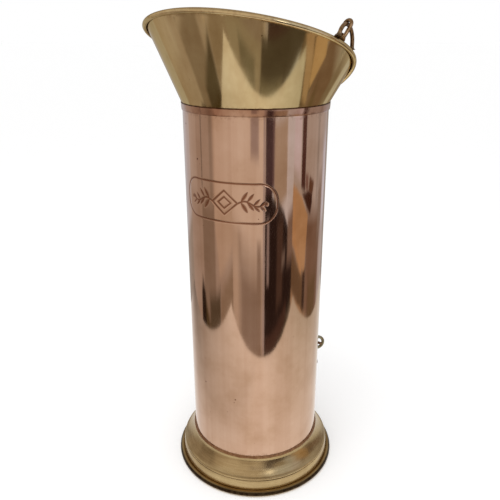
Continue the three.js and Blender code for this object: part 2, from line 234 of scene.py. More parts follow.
def polished_sheet(name, codes, rough, wave, dark_speck, grazing="#FFFFFF"):
    """Hand-polished sheet; codes run from tarnished to clean, grazing is its tint at flat angles."""
    material, tree, shader = new_metal(name)
    shader.inputs["Specular Tint"].default_value = linear(grazing)
    place = node(tree, "TexCoord").outputs["Object"]
    tall = node(tree, "Mapping", {"Scale": RAG_STRETCH}, Vector=place)
    drag = node(tree, "TexNoise", {"Scale": per(RAG_LINE), "Detail": 3}, Vector=tall)
    broad = node(tree, "TexNoise", {"Scale": per(RAG_STREAK), "Detail": 2}, Vector=tall)
    clouds = {"Scale": per(TARNISH_CLOUD), "Detail": 5, "Roughness": 0.6}
    cloud = node(tree, "TexNoise", clouds, Vector=place)
    grime = node(tree, "TexNoise", {"Scale": per(SHEET_GRIME), "Detail": 5, "Roughness": 0.7}, Vector=place)

    tint = node(tree, "ValToRGB", {"stops": list(zip(CLOUD_STOPS, codes))}, _0=cloud)
    streak = node(tree, "ValToRGB", {"stops": [(0.35, "#E6DAD2"), (0.6, "#FFFFFF")]}, _0=broad)
    tint = node(tree, "Mix", {**MULTIPLY, 0: 0.3}, _6=tint, _7=streak).outputs[2]
    small = specks(tree, place, SPECK_CELL, SPECK_WIDEST)
    tint = node(tree, "Mix", {**MULTIPLY, 7: linear(dark_speck)}, _0=small, _6=tint).outputs[2]

    # Heat tarnish beside the joints and painted shade under the roll both come in through this number.
    bloom = node(tree, "Attribute", {"attribute_name": "bloom"}).outputs["Fac"]
    patchy = node(tree, "Math", {"operation": "ADD", 1: -0.42}, _0=grime)
    patchy = node(tree, "Math", {"operation": "MULTIPLY_ADD", 1: 3.0}, _0=patchy, _2=bloom)
    bloomed = node(tree, "MapRange", {1: 0.55, 2: 1.2, 3: 0, 4: 1}, _0=patchy)
    shaded = node(tree, "Math", {"operation": "MULTIPLY"}, _0=bloomed, _1=bloom)
    brazed = node(tree, "Attribute", {"attribute_name": "brazed"}).outputs["Fac"]
    cut = node(tree, "Attribute", {"attribute_name": "engraved"}).outputs["Fac"]
    for amount, code in ((shaded, TARNISH_AND_SHADE_BROWN), (brazed, HARD_SOLDER), (cut, CUT_DIRT)):
        tint = node(tree, "Mix", {**COVER, 7: linear(code)}, _0=amount, _6=tint).outputs[2]

    dull = node(tree, "MapRange", {**NOISE_RANGE, 3: rough, 4: rough + 0.05}, _0=cloud)
    for amount, source in ((0.3, cut), (0.3, shaded), (0.25, brazed), (0.3, small)):
        dull = node(tree, "Math", {"operation": "MULTIPLY_ADD", 1: amount}, _0=source, _2=dull)

    lines = node(tree, "Bump", {"Strength": 0.05, "Distance": 0.04 * MM}, Height=drag)
    rolled = node(tree, "TexNoise", {"Scale": per(ROLLING_WAVE), "Detail": 1}, Vector=place)
    waves = node(tree, "Bump", {"Strength": wave, "Distance": 0.25 * MM}, Height=rolled, Normal=lines)
    wire(tree, shader, {"Base_Color": tint, "Roughness": dull, "Normal": waves})
    return material


# %% [markdown]
# Nobody polishes the inside of a measure. It goes a dull chocolate brown, darker in patches. Three
# separate patterns would look busy, so one cloud of noise steers its colour, its roughness and a
# slight unevenness together.

# %% Dull copper
DULL_CLOUD = 18 * MM
print("brown patches of %.0f mm" % (DULL_CLOUD / MM))


def dull_copper(name, codes):
    """Copper left to tarnish; codes run from its darkest patches to its brightest."""
    material, tree, shader = new_metal(name)
    place = node(tree, "TexCoord").outputs["Object"]
    cloud = node(tree, "TexNoise", {"Scale": per(DULL_CLOUD), "Detail": 6, "Roughness": 0.65}, Vector=place)
    tint = node(tree, "ValToRGB", {"stops": list(zip((0.3, 0.5, 0.72), codes))}, _0=cloud)
    dull = node(tree, "MapRange", {**NOISE_RANGE, 3: 0.32, 4: 0.5}, _0=cloud)
    bump = node(tree, "Bump", {"Strength": 0.2, "Distance": 0.1 * MM}, Height=cloud)
    wire(tree, shader, {"Base_Color": tint, "Roughness": dull, "Normal": bump})
    return material


# %% [markdown]
# The foot is brass, spun over a former and turned on a lathe. Its fine lines run round the axis.
# Rings could be drawn by a wave pattern, but real tool marks are irregular, so they are a noise
# squeezed along the turn until only the height changes it. Near the corners the hand can't reach,
# and there the same brown number tarnishes the metal. The rolled bottom edge is the same brass
# with painted shade: its outer side is painted nearly black, so that dark colour and the least
# share of it are given as well.

# %% Turned brass
TURN_SQUEEZE = (0.04, 0.04, 1)
FOOT_CLOUD = 26 * MM
FOOT_GRIME = 4 * MM
SPINNING_WAVE = 22 * MM
FOOT_SPECK_CELL = 7 * MM
FOOT_SPECK_WIDEST = 1.1 * MM
FOOT_SPECK = "#6E5632"
print("clouds of %.0f mm on turned brass, grime of %.0f mm" % (FOOT_CLOUD / MM, FOOT_GRIME / MM))


def turned_brass(name, codes, rough, line_size, browned="#5B4022", least=0.25):
    """Lathe-turned brass; the brown number lays on the browned colour, at least this share of it everywhere,
    as tarnish on the skirt and as painted shade on the foot's edge.
    """
    material, tree, shader = new_metal(name)
    place = node(tree, "TexCoord").outputs["Object"]
    flat = node(tree, "Mapping", {"Scale": TURN_SQUEEZE}, Vector=place)
    lines = node(tree, "TexNoise", {"Scale": per(line_size), "Detail": 3}, Vector=flat)
    cloud = node(tree, "TexNoise", {"Scale": per(FOOT_CLOUD), "Detail": 6, "Roughness": 0.62}, Vector=place)
    grime = node(tree, "TexNoise", {"Scale": per(FOOT_GRIME), "Detail": 5, "Roughness": 0.7}, Vector=place)
    tint = node(tree, "ValToRGB", {"stops": list(zip(CLOUD_STOPS, codes))}, _0=cloud)
    ringed = node(tree, "ValToRGB", {"stops": [(0.35, "#DDD3C2"), (0.6, "#FFFFFF")]}, _0=lines)
    tint = node(tree, "Mix", {**MULTIPLY, 0: 0.5}, _6=tint, _7=ringed).outputs[2]
    small = specks(tree, place, FOOT_SPECK_CELL, FOOT_SPECK_WIDEST)
    tint = node(tree, "Mix", {**MULTIPLY, 7: linear(FOOT_SPECK)}, _0=small, _6=tint).outputs[2]
    bloom = node(tree, "Attribute", {"attribute_name": "bloom"}).outputs["Fac"]
    patchy = node(tree, "MapRange", {1: 0.3, 2: 0.62, 3: least, 4: 1}, _0=grime)
    shaded = node(tree, "Math", {"operation": "MULTIPLY"}, _0=patchy, _1=bloom)
    tint = node(tree, "Mix", {**COVER, 7: linear(browned)}, _0=shaded, _6=tint).outputs[2]
    dull = node(tree, "MapRange", {**NOISE_RANGE, 3: rough, 4: rough + 0.08}, _0=cloud)
    dull = node(tree, "Math", {"operation": "MULTIPLY_ADD", 1: 0.25}, _0=shaded, _2=dull)
    fine = node(tree, "Bump", {"Strength": 0.1, "Distance": 0.05 * MM}, Height=lines)
    spun = node(tree, "TexNoise", {"Scale": per(SPINNING_WAVE), "Detail": 1}, Vector=place)
    waves = node(tree, "Bump", {"Strength": 0.15, "Distance": 0.25 * MM}, Height=spun, Normal=fine)
    wire(tree, shader, {"Base_Color": tint, "Roughness": dull, "Normal": waves})
    return material


# %% [markdown]
# Wire fittings are never polished well: hands can't reach between the links. The drawn brass wire
# has gone brown in the hollows, and stays brighter where links rub and on the crests. It could be
# painted along every edge, but on so many small wires a noise does it. One noise with cells less
# than two wires wide gives both colour and gloss, since bright metal is also the smoother.

# %% Browned brass
WIRE_CLOUD = 5 * MM
WIRE_PITS = 1.4 * MM
print("brown clouds of %.0f mm and pits of %.1f mm on wire" % (WIRE_CLOUD / MM, WIRE_PITS / MM))


def browned_brass(name, codes):
    """Drawn brass wire gone brown; codes run from its hollows to its rubbed crests."""
    material, tree, shader = new_metal(name)
    place = node(tree, "TexCoord").outputs["Object"]
    cloud = node(tree, "TexNoise", {"Scale": per(WIRE_CLOUD), "Detail": 5, "Roughness": 0.6}, Vector=place)
    tint = node(tree, "ValToRGB", {"stops": list(zip((0.32, 0.5, 0.7), codes))}, _0=cloud)
    dull = node(tree, "MapRange", {**NOISE_RANGE, 3: 0.38, 4: 0.22}, _0=cloud)
    pits = node(tree, "TexNoise", {"Scale": per(WIRE_PITS), "Detail": 3}, Vector=place)
    bump = node(tree, "Bump", {"Strength": 0.3, "Distance": 0.08 * MM}, Height=pits)
    wire(tree, shader, {"Base_Color": tint, "Roughness": dull, "Normal": bump})
    return material


# %% [markdown]
# Soft solder fills the corners where a wire or a sheet meets the tube. Fresh it is grey, and here
# it has gone brown with the metal round it. It froze as it ran, so it is lumpy and dull, and a
# small noise raises its surface as well as mottling it.

# %% Soft solder
SOLDER_LUMP = 3 * MM
print("lumps of %.0f mm in solder" % (SOLDER_LUMP / MM))


def soft_solder(name, codes):
    """Solder that has tarnished; codes run from its hollows to its lumps."""
    material, tree, shader = new_metal(name)
    place = node(tree, "TexCoord").outputs["Object"]
    cloud = node(tree, "TexNoise", {"Scale": per(SOLDER_LUMP), "Detail": 5}, Vector=place)
    tint = node(tree, "ValToRGB", {"stops": list(zip(CLOUD_STOPS, codes))}, _0=cloud)
    dull = node(tree, "MapRange", {**NOISE_RANGE, 3: 0.35, 4: 0.5}, _0=cloud)
    bump = node(tree, "Bump", {"Strength": 0.4, "Distance": 0.15 * MM}, Height=cloud)
    wire(tree, shader, {"Base_Color": tint, "Roughness": dull, "Normal": bump})
    return material


# %% [markdown]
# Each metal is made once, from its three colours and its roughness. Clean polished copper and
# brass start at a roughness of about 0.05, turned brass at 0.2, and all keep the default IOR. The
# colours are those of old copper and brass under white light, since the reflections add the rest.

# %% Make the metals
# A clear warm mirror, a little clouded.
COPPER = polished_sheet("polished_tube_copper", ("#BE9A7E", "#CAA78D", "#D0AE95"), 0.05, 0.14, "#7A4A32")
# The same copper after the soldering flame: redder, with a softer gleam.
COLLAR_COPPER = polished_sheet(
    "heated_collar_copper", ("#9C7058", "#B28A6F", "#C09C82"), 0.09, 0.2, "#6A3E28"
)
# Chocolate brown, with hardly a gleam.
COPPER_INSIDE = dull_copper("dull_copper", ("#5A3A2A", "#86583E", "#A9795A"))
# A pale golden mirror, whose edges stay golden.
MOUTH_BRASS = polished_sheet(
    "polished_mouth_brass", ("#BBA174", "#C8B083", "#D1BA8D"), 0.05, 0.14, "#7A6440", "#E6DAC0"
)
# Satin, because only the outside was rubbed.
MOUTH_INSIDE = turned_brass("dull_mouth_brass", ("#7C6642", "#957C52", "#A98F62"), 0.28, 1.4 * MM)
# Soft rings of light round the foot.
FOOT_BRASS = turned_brass("turned_foot_brass", ("#A18A64", "#B29A70", "#C0A87C"), 0.2, 0.9 * MM)
# Bright on top, with painted shade nearly black on its outer side.
ROLL_BRASS = turned_brass(
    "shaded_foot_edge", ("#A1875C", "#B29768", "#C0A573"), 0.16, 0.9 * MM, "#20120A", 0.85
)
# Warm brown wire with small bright crests.
WIRE_BRASS = browned_brass("browned_wire_brass", ("#584128", "#8C6D4C", "#BC9C74"))
# The staples have greyed, as they are out of the hand's way.
STAPLE_BRASS = browned_brass("greyed_staple_brass", ("#716850", "#948A6E", "#B0A688"))
# Dull and lumpy: grey-brown at the wires, red-brown at the foot, nearly black under the mouth.
SOLDER = soft_solder("browned_solder", ("#5A4834", "#7C684C", "#988462"))
FOOT_SOLDER = soft_solder("red_brown_foot_solder", ("#7E553A", "#946C4C", "#A67E5A"))
DARK_JOINT = soft_solder("dark_joint_solder", ("#3A2112", "#5A3822", "#78543A"))
print("metals:", len(bpy.data.materials))

# %% [markdown]
# Every piece is a row of rings joined into one skin. A lathe piece has one ring for each azimuth,
# and a wire has one for each step along its path. Blender's Screw modifier and bevelled curves
# could make them too, but rings in plain numbers follow the solids exactly, and a number can be
# stored on any of their points.

# %% Join rings into a piece
def skinned(rings, looped):
    """Quads between neighbouring rings; rings is an array of rings of points."""
    rows, sides = rings.shape[:2]
    spans = rows if looped else rows - 1
    here = np.arange(spans)[:, None] * sides
    after = (np.arange(spans)[:, None] + 1) % rows * sides
    side = np.arange(sides)[None, :]
    beside = (side + 1) % sides
    corners = [here + side, here + beside, after + beside, after + side]
    faces = np.stack(corners, axis=-1).reshape(-1, 4).tolist()
    if not looped:
        faces.append(list(range(sides))[::-1])
        faces.append([(rows - 1) * sides + k for k in range(sides)])
    return rings.reshape(-1, 3), faces


def piece(name, rings, metals, body, nodes=(), looped=True, sharp=35, pick=None):
    """Makes one fine piece from its rings, gives it its metal and lets it ride on its body."""
    points, faces = skinned(np.asarray(rings, float), looped)
    mesh = bpy.data.meshes.new(name)
    mesh.from_pydata(points.tolist(), [], faces)
    work = bmesh.new()
    work.from_mesh(mesh)
    bmesh.ops.recalc_face_normals(work, faces=work.faces)
    work.to_mesh(mesh)
    work.free()
    for metal in metals:
        mesh.materials.append(metal)
    if pick is not None:
        mesh.polygons.foreach_set("material_index", [pick(k) for k in range(len(mesh.polygons))])
    mesh.shade_smooth()
    mesh.set_sharp_from_angle(angle=math.radians(sharp))
    made = bpy.data.objects.new(name, mesh)
    bpy.context.scene.collection.objects.link(made)
    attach(made, body)
    if nodes:
        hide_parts(*nodes)
    print("%s: %d faces" % (name, len(mesh.polygons)))
    return made


def mark(made, name, values):
    """Stores one number for each point of the mesh, for its material to read."""
    layer = made.data.attributes.new(name, "FLOAT", "POINT")
    layer.data.foreach_set("value", np.asarray(values, np.float32).ravel())


# %% [markdown]
# Two functions make the rings. One turns a profile about the jug's axis, as a lathe would. The
# other sweeps a circle along a path, and carries the circle's own sideways direction from step to
# step, so that the wire doesn't twist.

# %% Rings for turned pieces and wires
def spin(profile, azimuths):
    """Rings of a closed profile of (radius, height), one for each azimuth."""
    flat = np.asarray(profile, float)
    a = np.asarray(azimuths)[:, None]
    height = np.broadcast_to(flat[:, 1], (len(azimuths), len(flat)))
    return np.stack([flat[:, 0] * np.cos(a), flat[:, 0] * np.sin(a), height], axis=-1)


def around(count):
    """Evenly spaced azimuths for a full turn."""
    return np.arange(count) / count * 2 * math.pi


def polar(radius, azimuth, height):
    """A point at this distance from the jug's axis, at this azimuth and height."""
    return Vector((radius * math.cos(azimuth), radius * math.sin(azimuth), height))


def wire_rings(path, radius, sides, looped, across):
    """Rings of round wire along a path, with one radius for all or one for each point."""
    spots = [Vector(p) for p in path]
    side = Vector(across)
    rings = []
    for i, spot in enumerate(spots):
        before = spots[i - 1] if looped or i else spots[0]
        after = spots[(i + 1) % len(spots)] if looped or i + 1 < len(spots) else spots[-1]
        along = (after - before).normalized()
        side = (side - along * side.dot(along)).normalized()
        up = along.cross(side)
        size = radius if isinstance(radius, float) else radius[i]
        turns = [2 * math.pi * j / sides for j in range(sides)]
        rings.append([spot + (side * math.cos(t) + up * math.sin(t)) * size for t in turns])
    return np.array([[list(p) for p in ring] for ring in rings])


print("one of 320 steps round the tube is %.1f mm" % (around(320)[1] * TUBE_RADIUS / MM))

# %% [markdown]
# The tube is engraved with a frame, and a plain generic ornament fills it. A bump map would be
# quick, but it is lost when the model is used without its materials, so the lines are cut into
# the mesh itself. Distances to simple shapes say how deep the graver went at each place: a
# rounded frame, lozenges, and a wavy stem with pointed leaves.

# %% Shapes of the engraving
FRAME_AZIMUTH = math.radians(-82)
FRAME_HEIGHT = 300.4 * MM
FRAME_HALF_WIDTH = 46.5 * MM
FRAME_HALF_HEIGHT = 17.25 * MM
FRAME_CORNER = 15 * MM
FRAME_LINE = 2.0 * MM
STROKE = 1.9 * MM


def groove(distance, width):
    """Depth of a round-bottomed cut, 1 in the middle of the line and 0 at its edges."""
    return np.clip(1 - (distance / (0.5 * width)) ** 2, 0, 1)


def frame_distance(u, v):
    """Distance from a place on the unrolled tube to the rounded frame line."""
    x = np.abs(u) - (FRAME_HALF_WIDTH - FRAME_CORNER)
    y = np.abs(v) - (FRAME_HALF_HEIGHT - FRAME_CORNER)
    outside = np.hypot(np.maximum(x, 0), np.maximum(y, 0))
    return np.abs(outside + np.minimum(np.maximum(x, y), 0) - FRAME_CORNER)


def lozenge_distance(u, v, half_width, half_height):
    """Distance to the outline of a lozenge."""
    slant = np.hypot(half_width, half_height)
    return np.abs(np.abs(u) * half_height + np.abs(v) * half_width - half_width * half_height) / slant


def leaf_depth(u, v, root, length, width, lean):
    """Depth of a pointed leaf cut with a graver, growing from its root and leaning by an angle."""
    x = (u - root[0]) * math.cos(lean) + (v - root[1]) * math.sin(lean)
    y = -(u - root[0]) * math.sin(lean) + (v - root[1]) * math.cos(lean)
    share = np.clip(x / length, 0, 1)
    half = 0.5 * width * np.sin(math.pi * share) ** 0.8 + 1e-9
    inside = (x > 0) & (x < length)
    return np.where(inside, np.clip(1 - (y / half) ** 2, 0, 1), 0)


print("engraved frame: %.0f by %.1f mm" % (2 * FRAME_HALF_WIDTH / MM, 2 * FRAME_HALF_HEIGHT / MM))

# %% [markdown]
# The ornament is the same to the left and the right of its middle, so it is drawn once for the
# distance from the middle. The leaves grow in pairs along the stem, and each pair is shorter and
# leans a little less than the one before.

# %% Ornament inside the frame
LOZENGES = ((12 * MM, 10.5 * MM), (6 * MM, 5 * MM))
STEM_START = 12.5 * MM
STEM_END = 35.5 * MM
STEM_WAVE = 2.2 * MM
LEAF_PAIRS = 4
LEAF_START = 2.5 * MM
LEAF_SPACING = 5.6 * MM
LEAF_LENGTH = 11 * MM
LEAF_SHORTER = 1.6 * MM
LEAF_WIDTH = 0.36
LEAF_LEAN = 56
LEAN_LESS = 5
BUD_BEYOND = 1.5 * MM
BUD_WIDTH = 4.2 * MM


def stem_height(along):
    """Height of the wavy stem at this distance from the ornament's middle."""
    return STEM_WAVE * np.sin(2 * math.pi * (along - STEM_START) / (STEM_END - STEM_START))


def engraving(u, v):
    """Depth of all cuts together, from 0 to 1."""
    side = np.abs(u)
    depth = groove(frame_distance(u, v), FRAME_LINE)
    for half_width, half_height in LOZENGES:
        depth = np.maximum(depth, groove(lozenge_distance(u, v, half_width, half_height), STROKE))
    on_stem = (side > STEM_START) & (side < STEM_END)
    stem = groove(np.abs(v - stem_height(side)), STROKE)
    depth = np.maximum(depth, np.where(on_stem, stem, 0))
    for k in range(LEAF_PAIRS):
        reach = STEM_START + LEAF_START + LEAF_SPACING * k
        length = LEAF_LENGTH - LEAF_SHORTER * k
        lean = math.radians(LEAF_LEAN - LEAN_LESS * k)
        for way in (1, -1):
            root = (reach, stem_height(reach))
            leaf = leaf_depth(side, v, root, length, LEAF_WIDTH * length, way * lean)
            depth = np.maximum(depth, leaf)
    bud = np.hypot(side - STEM_END - BUD_BEYOND, v)
    return np.maximum(depth, groove(bud, BUD_WIDTH))


print("leaves on each side: %d" % (2 * LEAF_PAIRS))

# %% [markdown]
# The tube is a rolled sheet. One even grid fine enough for the graver's line would be huge, so the
# rows and columns are 0.42 mm apart inside the frame's window and coarse elsewhere, with a few
# close columns where the sheet's two edges meet at the back.

# %% Grid of the copper tube
FINE_STEP = 0.42 * MM
SEAM_AZIMUTH = math.radians(97)
SEAM_HALF = 1.4
SEAM_COLUMNS = 15
WINDOW_MARGIN = 2 * MM
COARSE_COLUMNS = 150
ROWS_BELOW, ROWS_ABOVE, ROWS_INSIDE = 60, 16, 12

window_half = (FRAME_HALF_WIDTH + WINDOW_MARGIN) / TUBE_RADIUS
fine_turns = int(2 * window_half * TUBE_RADIUS / FINE_STEP)
inside_window = FRAME_AZIMUTH + np.linspace(-window_half, window_half, fine_turns)
behind = FRAME_AZIMUTH + 2 * math.pi - window_half
outside_window = np.linspace(FRAME_AZIMUTH + window_half, behind, COARSE_COLUMNS)[1:-1]
at_seam = SEAM_AZIMUTH + np.linspace(-SEAM_HALF, SEAM_HALF, SEAM_COLUMNS) * MM / TUBE_RADIUS
tube_azimuths = np.concatenate([inside_window, np.sort(np.concatenate([outside_window, at_seam]))])
low_line = FRAME_HEIGHT - FRAME_HALF_HEIGHT - WINDOW_MARGIN
high_line = FRAME_HEIGHT + FRAME_HALF_HEIGHT + WINDOW_MARGIN
fine_rows = int((high_line - low_line) / FINE_STEP)
tube_rows = np.concatenate(
    [
        np.linspace(TUBE_FOOT, low_line, ROWS_BELOW)[:-1],
        np.linspace(low_line, high_line, fine_rows),
        np.linspace(high_line, JOINT_HEIGHT, ROWS_ABOVE)[1:],
    ]
)
skin_rows = len(tube_rows)
tube_profile = [(TUBE_RADIUS, z) for z in tube_rows]
inner_rows = np.linspace(JOINT_HEIGHT, TUBE_FOOT, ROWS_INSIDE)
tube_profile += [(TUBE_RADIUS - TUBE_WALL, z) for z in inner_rows]
tube_rings = spin(tube_profile, tube_azimuths)
print("tube grid: %d columns of %d points" % tube_rings.shape[:2])

# %% [markdown]
# Each point of the outside moves inward by the depth of the cut at its place. At the back one edge
# of the sheet lies over the other. The lap shows as a small step, so the skin sinks by the step's
# height on one side and eases back to the round within a few centimetres.

# %% Engraved and lapped copper tube
CUT_DEPTH = 0.22 * MM
SEAM_STEP = 0.35 * MM
SEAM_RAMP = 0.4 * MM
SEAM_EASE = 22 * MM

unrolled = (tube_azimuths - FRAME_AZIMUTH)[:, None] * TUBE_RADIUS
cut_here = engraving(unrolled, tube_rows[None, :] - FRAME_HEIGHT)
from_seam = (tube_azimuths - SEAM_AZIMUTH) * TUBE_RADIUS
stepped = np.clip(from_seam / SEAM_RAMP, 0, 1) * np.clip(1 - from_seam / SEAM_EASE, 0, 1)
sunk = cut_here * CUT_DEPTH + SEAM_STEP * stepped[:, None]
tube_rings[:, :skin_rows, :2] *= (1 - sunk / TUBE_RADIUS)[:, :, None]

ring_size = len(tube_profile)
tube = piece(
    "fine_copper_tube",
    tube_rings,
    [COPPER, COPPER_INSIDE],
    "jug",
    ["copper_tube"],
    pick=lambda k: int(k % ring_size >= skin_rows - 1),
)
print("deepest cut: %.2f mm" % (cut_here.max() * CUT_DEPTH / MM))

# %% [markdown]
# Just above the foot and just below the collar the soldering heat has browned the copper, and a
# yellow line of hard solder lies in the lap. A painted picture would need the tube unwrapped, but
# a number on each point doesn't, so three numbers tell the material where these things are.

# %% Marks of heat and solder on the tube
FOOT_HEAT = 4 * MM
COLLAR_HEAT = 3.5 * MM
BRAZED_HALF = 0.7 * MM
FOOT_BROWN, COLLAR_BROWN, BRAZED = 0.62, 0.5, 0.8


def on_skin(values):
    """Pads numbers for the tube's outer rows with zeros for its inner rows."""
    padded = np.zeros((len(tube_azimuths), ring_size))
    padded[:, :skin_rows] = values
    return padded


above_foot = np.exp(-(((tube_rows - FOOT_HEIGHT) / FOOT_HEAT) ** 2))
below_collar = np.exp(-(((tube_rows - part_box("copper_collar")[0].z) / COLLAR_HEAT) ** 2))
solder_line = np.clip(1.4 - np.abs(from_seam) / BRAZED_HALF, 0, 1)
mark(tube, "engraved", on_skin(cut_here))
mark(tube, "bloom", on_skin(FOOT_BROWN * above_foot + COLLAR_BROWN * below_collar))
mark(tube, "brazed", on_skin(np.repeat(BRAZED * solder_line[:, None], skin_rows, axis=1)))
print("columns on the brazed seam:", int((solder_line > 0).sum()))

# %% [markdown]
# The collar is a short strip of copper closed round the tube's end, a little belled where it was
# hammered over the joint. It was heated to solder it on, so it is redder than the tube and its
# lower edge has gone dark. The hammer left it slightly uneven. Sculpting would show that too, but
# two sine waves of 17 and 29 turns rarely line up, and so they look like hand work.

# %% Copper collar
COLLAR_OUT = collar_box[1].x
COLLAR_FOOT = collar_box[0].z
COLLAR_BELL = 0.4 * MM
LOW_CHAMFER = 0.55 * MM
HIGH_CHAMFER = 0.3 * MM
COLLAR_EDGE = 0.2 * MM
COLLAR_STEPS = 12
COLLAR_TURNS = 320
HAMMER_MARK = 0.05 * MM
collar_in = TUBE_RADIUS + GAP
collar_tall = JOINT_HEIGHT - COLLAR_FOOT
collar_profile = [(collar_in, COLLAR_FOOT), (COLLAR_OUT - LOW_CHAMFER, COLLAR_FOOT)]
for k in range(COLLAR_STEPS + 1):
    share = k / COLLAR_STEPS
    bell = COLLAR_OUT - COLLAR_BELL * (1 - share) ** 2
    collar_profile.append((bell, COLLAR_FOOT + COLLAR_EDGE + share * (collar_tall - 2 * COLLAR_EDGE)))
collar_profile += [(COLLAR_OUT - HIGH_CHAMFER, JOINT_HEIGHT), (collar_in, JOINT_HEIGHT)]
collar_azimuths = around(COLLAR_TURNS)
collar_rings = spin(collar_profile, collar_azimuths)
hammered = HAMMER_MARK * (np.sin(17 * collar_azimuths) + np.sin(29 * collar_azimuths + 1) - 2)
collar_rings[:, 1:-1, :2] *= (1 + hammered / TUBE_RADIUS)[:, None, None]
collar = piece(
    "fine_copper_collar", collar_rings, [COLLAR_COPPER], "jug", ["copper_collar"]
)
collar_up = (collar_rings[:, :, 2] - COLLAR_FOOT) / collar_tall
mark(collar, "bloom", 0.25 + 0.3 * np.exp(-((collar_up / 0.35) ** 2)))

# %% [markdown]
# The bottom disc is a dished plate whose flange is turned up inside the tube and soldered there.
# It is turned like the other round pieces. Its middle ring is a tenth of a millimetre wide,
# because a ring of points can't shrink to one point without leaving flat faces.

# %% Bottom disc
DISC_TURNS = 192
DISC_MIDDLE = 0.05 * MM
disc_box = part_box("bottom_disc")
disc_radius = disc_box[1].x
disc_low = disc_box[0].z
disc_high = disc_box[1].z
disc_profile = [(DISC_MIDDLE, disc_low)]
disc_profile += [(disc_radius - 2 * MM, disc_low), (disc_radius - 0.6 * MM, disc_low + 0.6 * MM)]
disc_profile += [(disc_radius, disc_low + 2 * MM), (disc_radius, disc_high)]
disc_profile += [(disc_radius - SHEET, disc_high), (disc_radius - SHEET, disc_low + 3 * MM)]
disc_profile += [(disc_radius - 2.6 * MM, disc_low + SHEET), (DISC_MIDDLE, disc_low + SHEET)]
piece(
    "fine_bottom_disc",
    spin(disc_profile, around(DISC_TURNS)),
    [COPPER_INSIDE],
    "jug",
    ["bottom_disc"],
)

# %% [markdown]
# The rim is a slanted curve: high at the spout, low at the back. It could be drawn as a curve and
# bent by hand, but the rolled edge, its core wire, the ears and the solder all need to know where
# it is. So a wave of the azimuth gives its height over the joint, and a soft floor keeps a small
# lip at the back. The sheet climbs straight from the joint to the rim and its edge is rolled
# outward over a core wire.

# %% Rim of the mouth
RIM_WAVE = (0.5818, 0.5827, -0.0727, 0.0185)
RIM_START = 1.0207
SLOPE_AT_SIDE = 0.537
SLOPE_LESS_AT_SPOUT = 0.1547
BACK_LIP = 0.06 * TUBE_RADIUS
LIP_BLEND = 0.02 * TUBE_RADIUS
JOINT_RADIUS = TUBE_RADIUS + 0.7 * MM
ROLL_RADIUS = 2.1 * MM
ROLL_SWEEP = math.radians(275)
CORE_RADIUS = ROLL_RADIUS - SHEET - 0.35 * MM


def rim_rise(azimuth):
    """Height of the rim over the joint."""
    u = azimuth + math.pi / 2
    wave = sum(part * math.cos(k * u) for k, part in enumerate(RIM_WAVE))
    above = (wave * TUBE_RADIUS - BACK_LIP) / LIP_BLEND
    return BACK_LIP + LIP_BLEND * math.log1p(math.exp(above))


def rim_at(azimuth):
    """Centre of the roll, the way the sheet climbs and the way it faces, as (radius, height)."""
    rise = rim_rise(azimuth)
    slope = SLOPE_AT_SIDE - SLOPE_LESS_AT_SPOUT * math.cos(azimuth + math.pi / 2)
    edge = Vector((RIM_START * TUBE_RADIUS + slope * rise, JOINT_HEIGHT + rise))
    climb = (edge - Vector((JOINT_RADIUS, JOINT_HEIGHT))).normalized()
    outward = Vector((climb.y, -climb.x))
    return edge - climb * (0.6 * ROLL_RADIUS), climb, outward


spout_rise, back_rise = rim_rise(-math.pi / 2), rim_rise(math.pi / 2)
print("rim over the joint: %.1f mm at the spout, %.1f mm behind" % (spout_rise / MM, back_rise / MM))

# %% [markdown]
# Each section of the mouth is one closed outline: the neck inside the tube, the straight climb,
# the roll, and the same way back on the inside. Thickening a single sheet with a modifier would be
# shorter, but the roll would close on itself. Rows along the climb let the light run smoothly.

# %% Section of the mouth
CLIMB_ROWS = 16
ARC_STEPS = 22
NECK_DEPTH = 12 * MM


def mouth_section(azimuth):
    """Closed outline of the sheet at one azimuth, and where its inside face begins."""
    centre, climb, outward = rim_at(azimuth)
    neck = TUBE_RADIUS - TUBE_WALL - GAP
    bottom = JOINT_HEIGHT - NECK_DEPTH
    top = JOINT_HEIGHT + GAP
    start = Vector((JOINT_RADIUS, top))

    def roll(share, radius):
        """A point of the roll, from where the climb meets it, at 0, to its free edge, at 1."""
        angle = share * ROLL_SWEEP
        return centre - outward * (math.cos(angle) * radius) + climb * (math.sin(angle) * radius)

    outer = [Vector((neck, bottom)), Vector((neck, top)), start]
    meets = roll(0, ROLL_RADIUS - SHEET)
    outer += [start.lerp(meets, k / CLIMB_ROWS) for k in range(1, CLIMB_ROWS)]
    outer += [roll(k / ARC_STEPS, ROLL_RADIUS - SHEET) for k in range(ARC_STEPS + 1)]
    inner = [roll(k / ARC_STEPS, ROLL_RADIUS) for k in range(ARC_STEPS, -1, -1)]
    inside = start - outward * SHEET + climb * (0.5 * SHEET)
    inner += [inner[-1].lerp(inside, k / CLIMB_ROWS) for k in range(1, CLIMB_ROWS)]
    inner += [inside, Vector((neck - SHEET, top + 0.6 * SHEET)), Vector((neck - SHEET, bottom))]
    ring = [polar(p.x, azimuth, p.y) for p in outer + inner]
    return ring, len(outer) + ARC_STEPS


print("points in a section:", len(mouth_section(0)[0]))
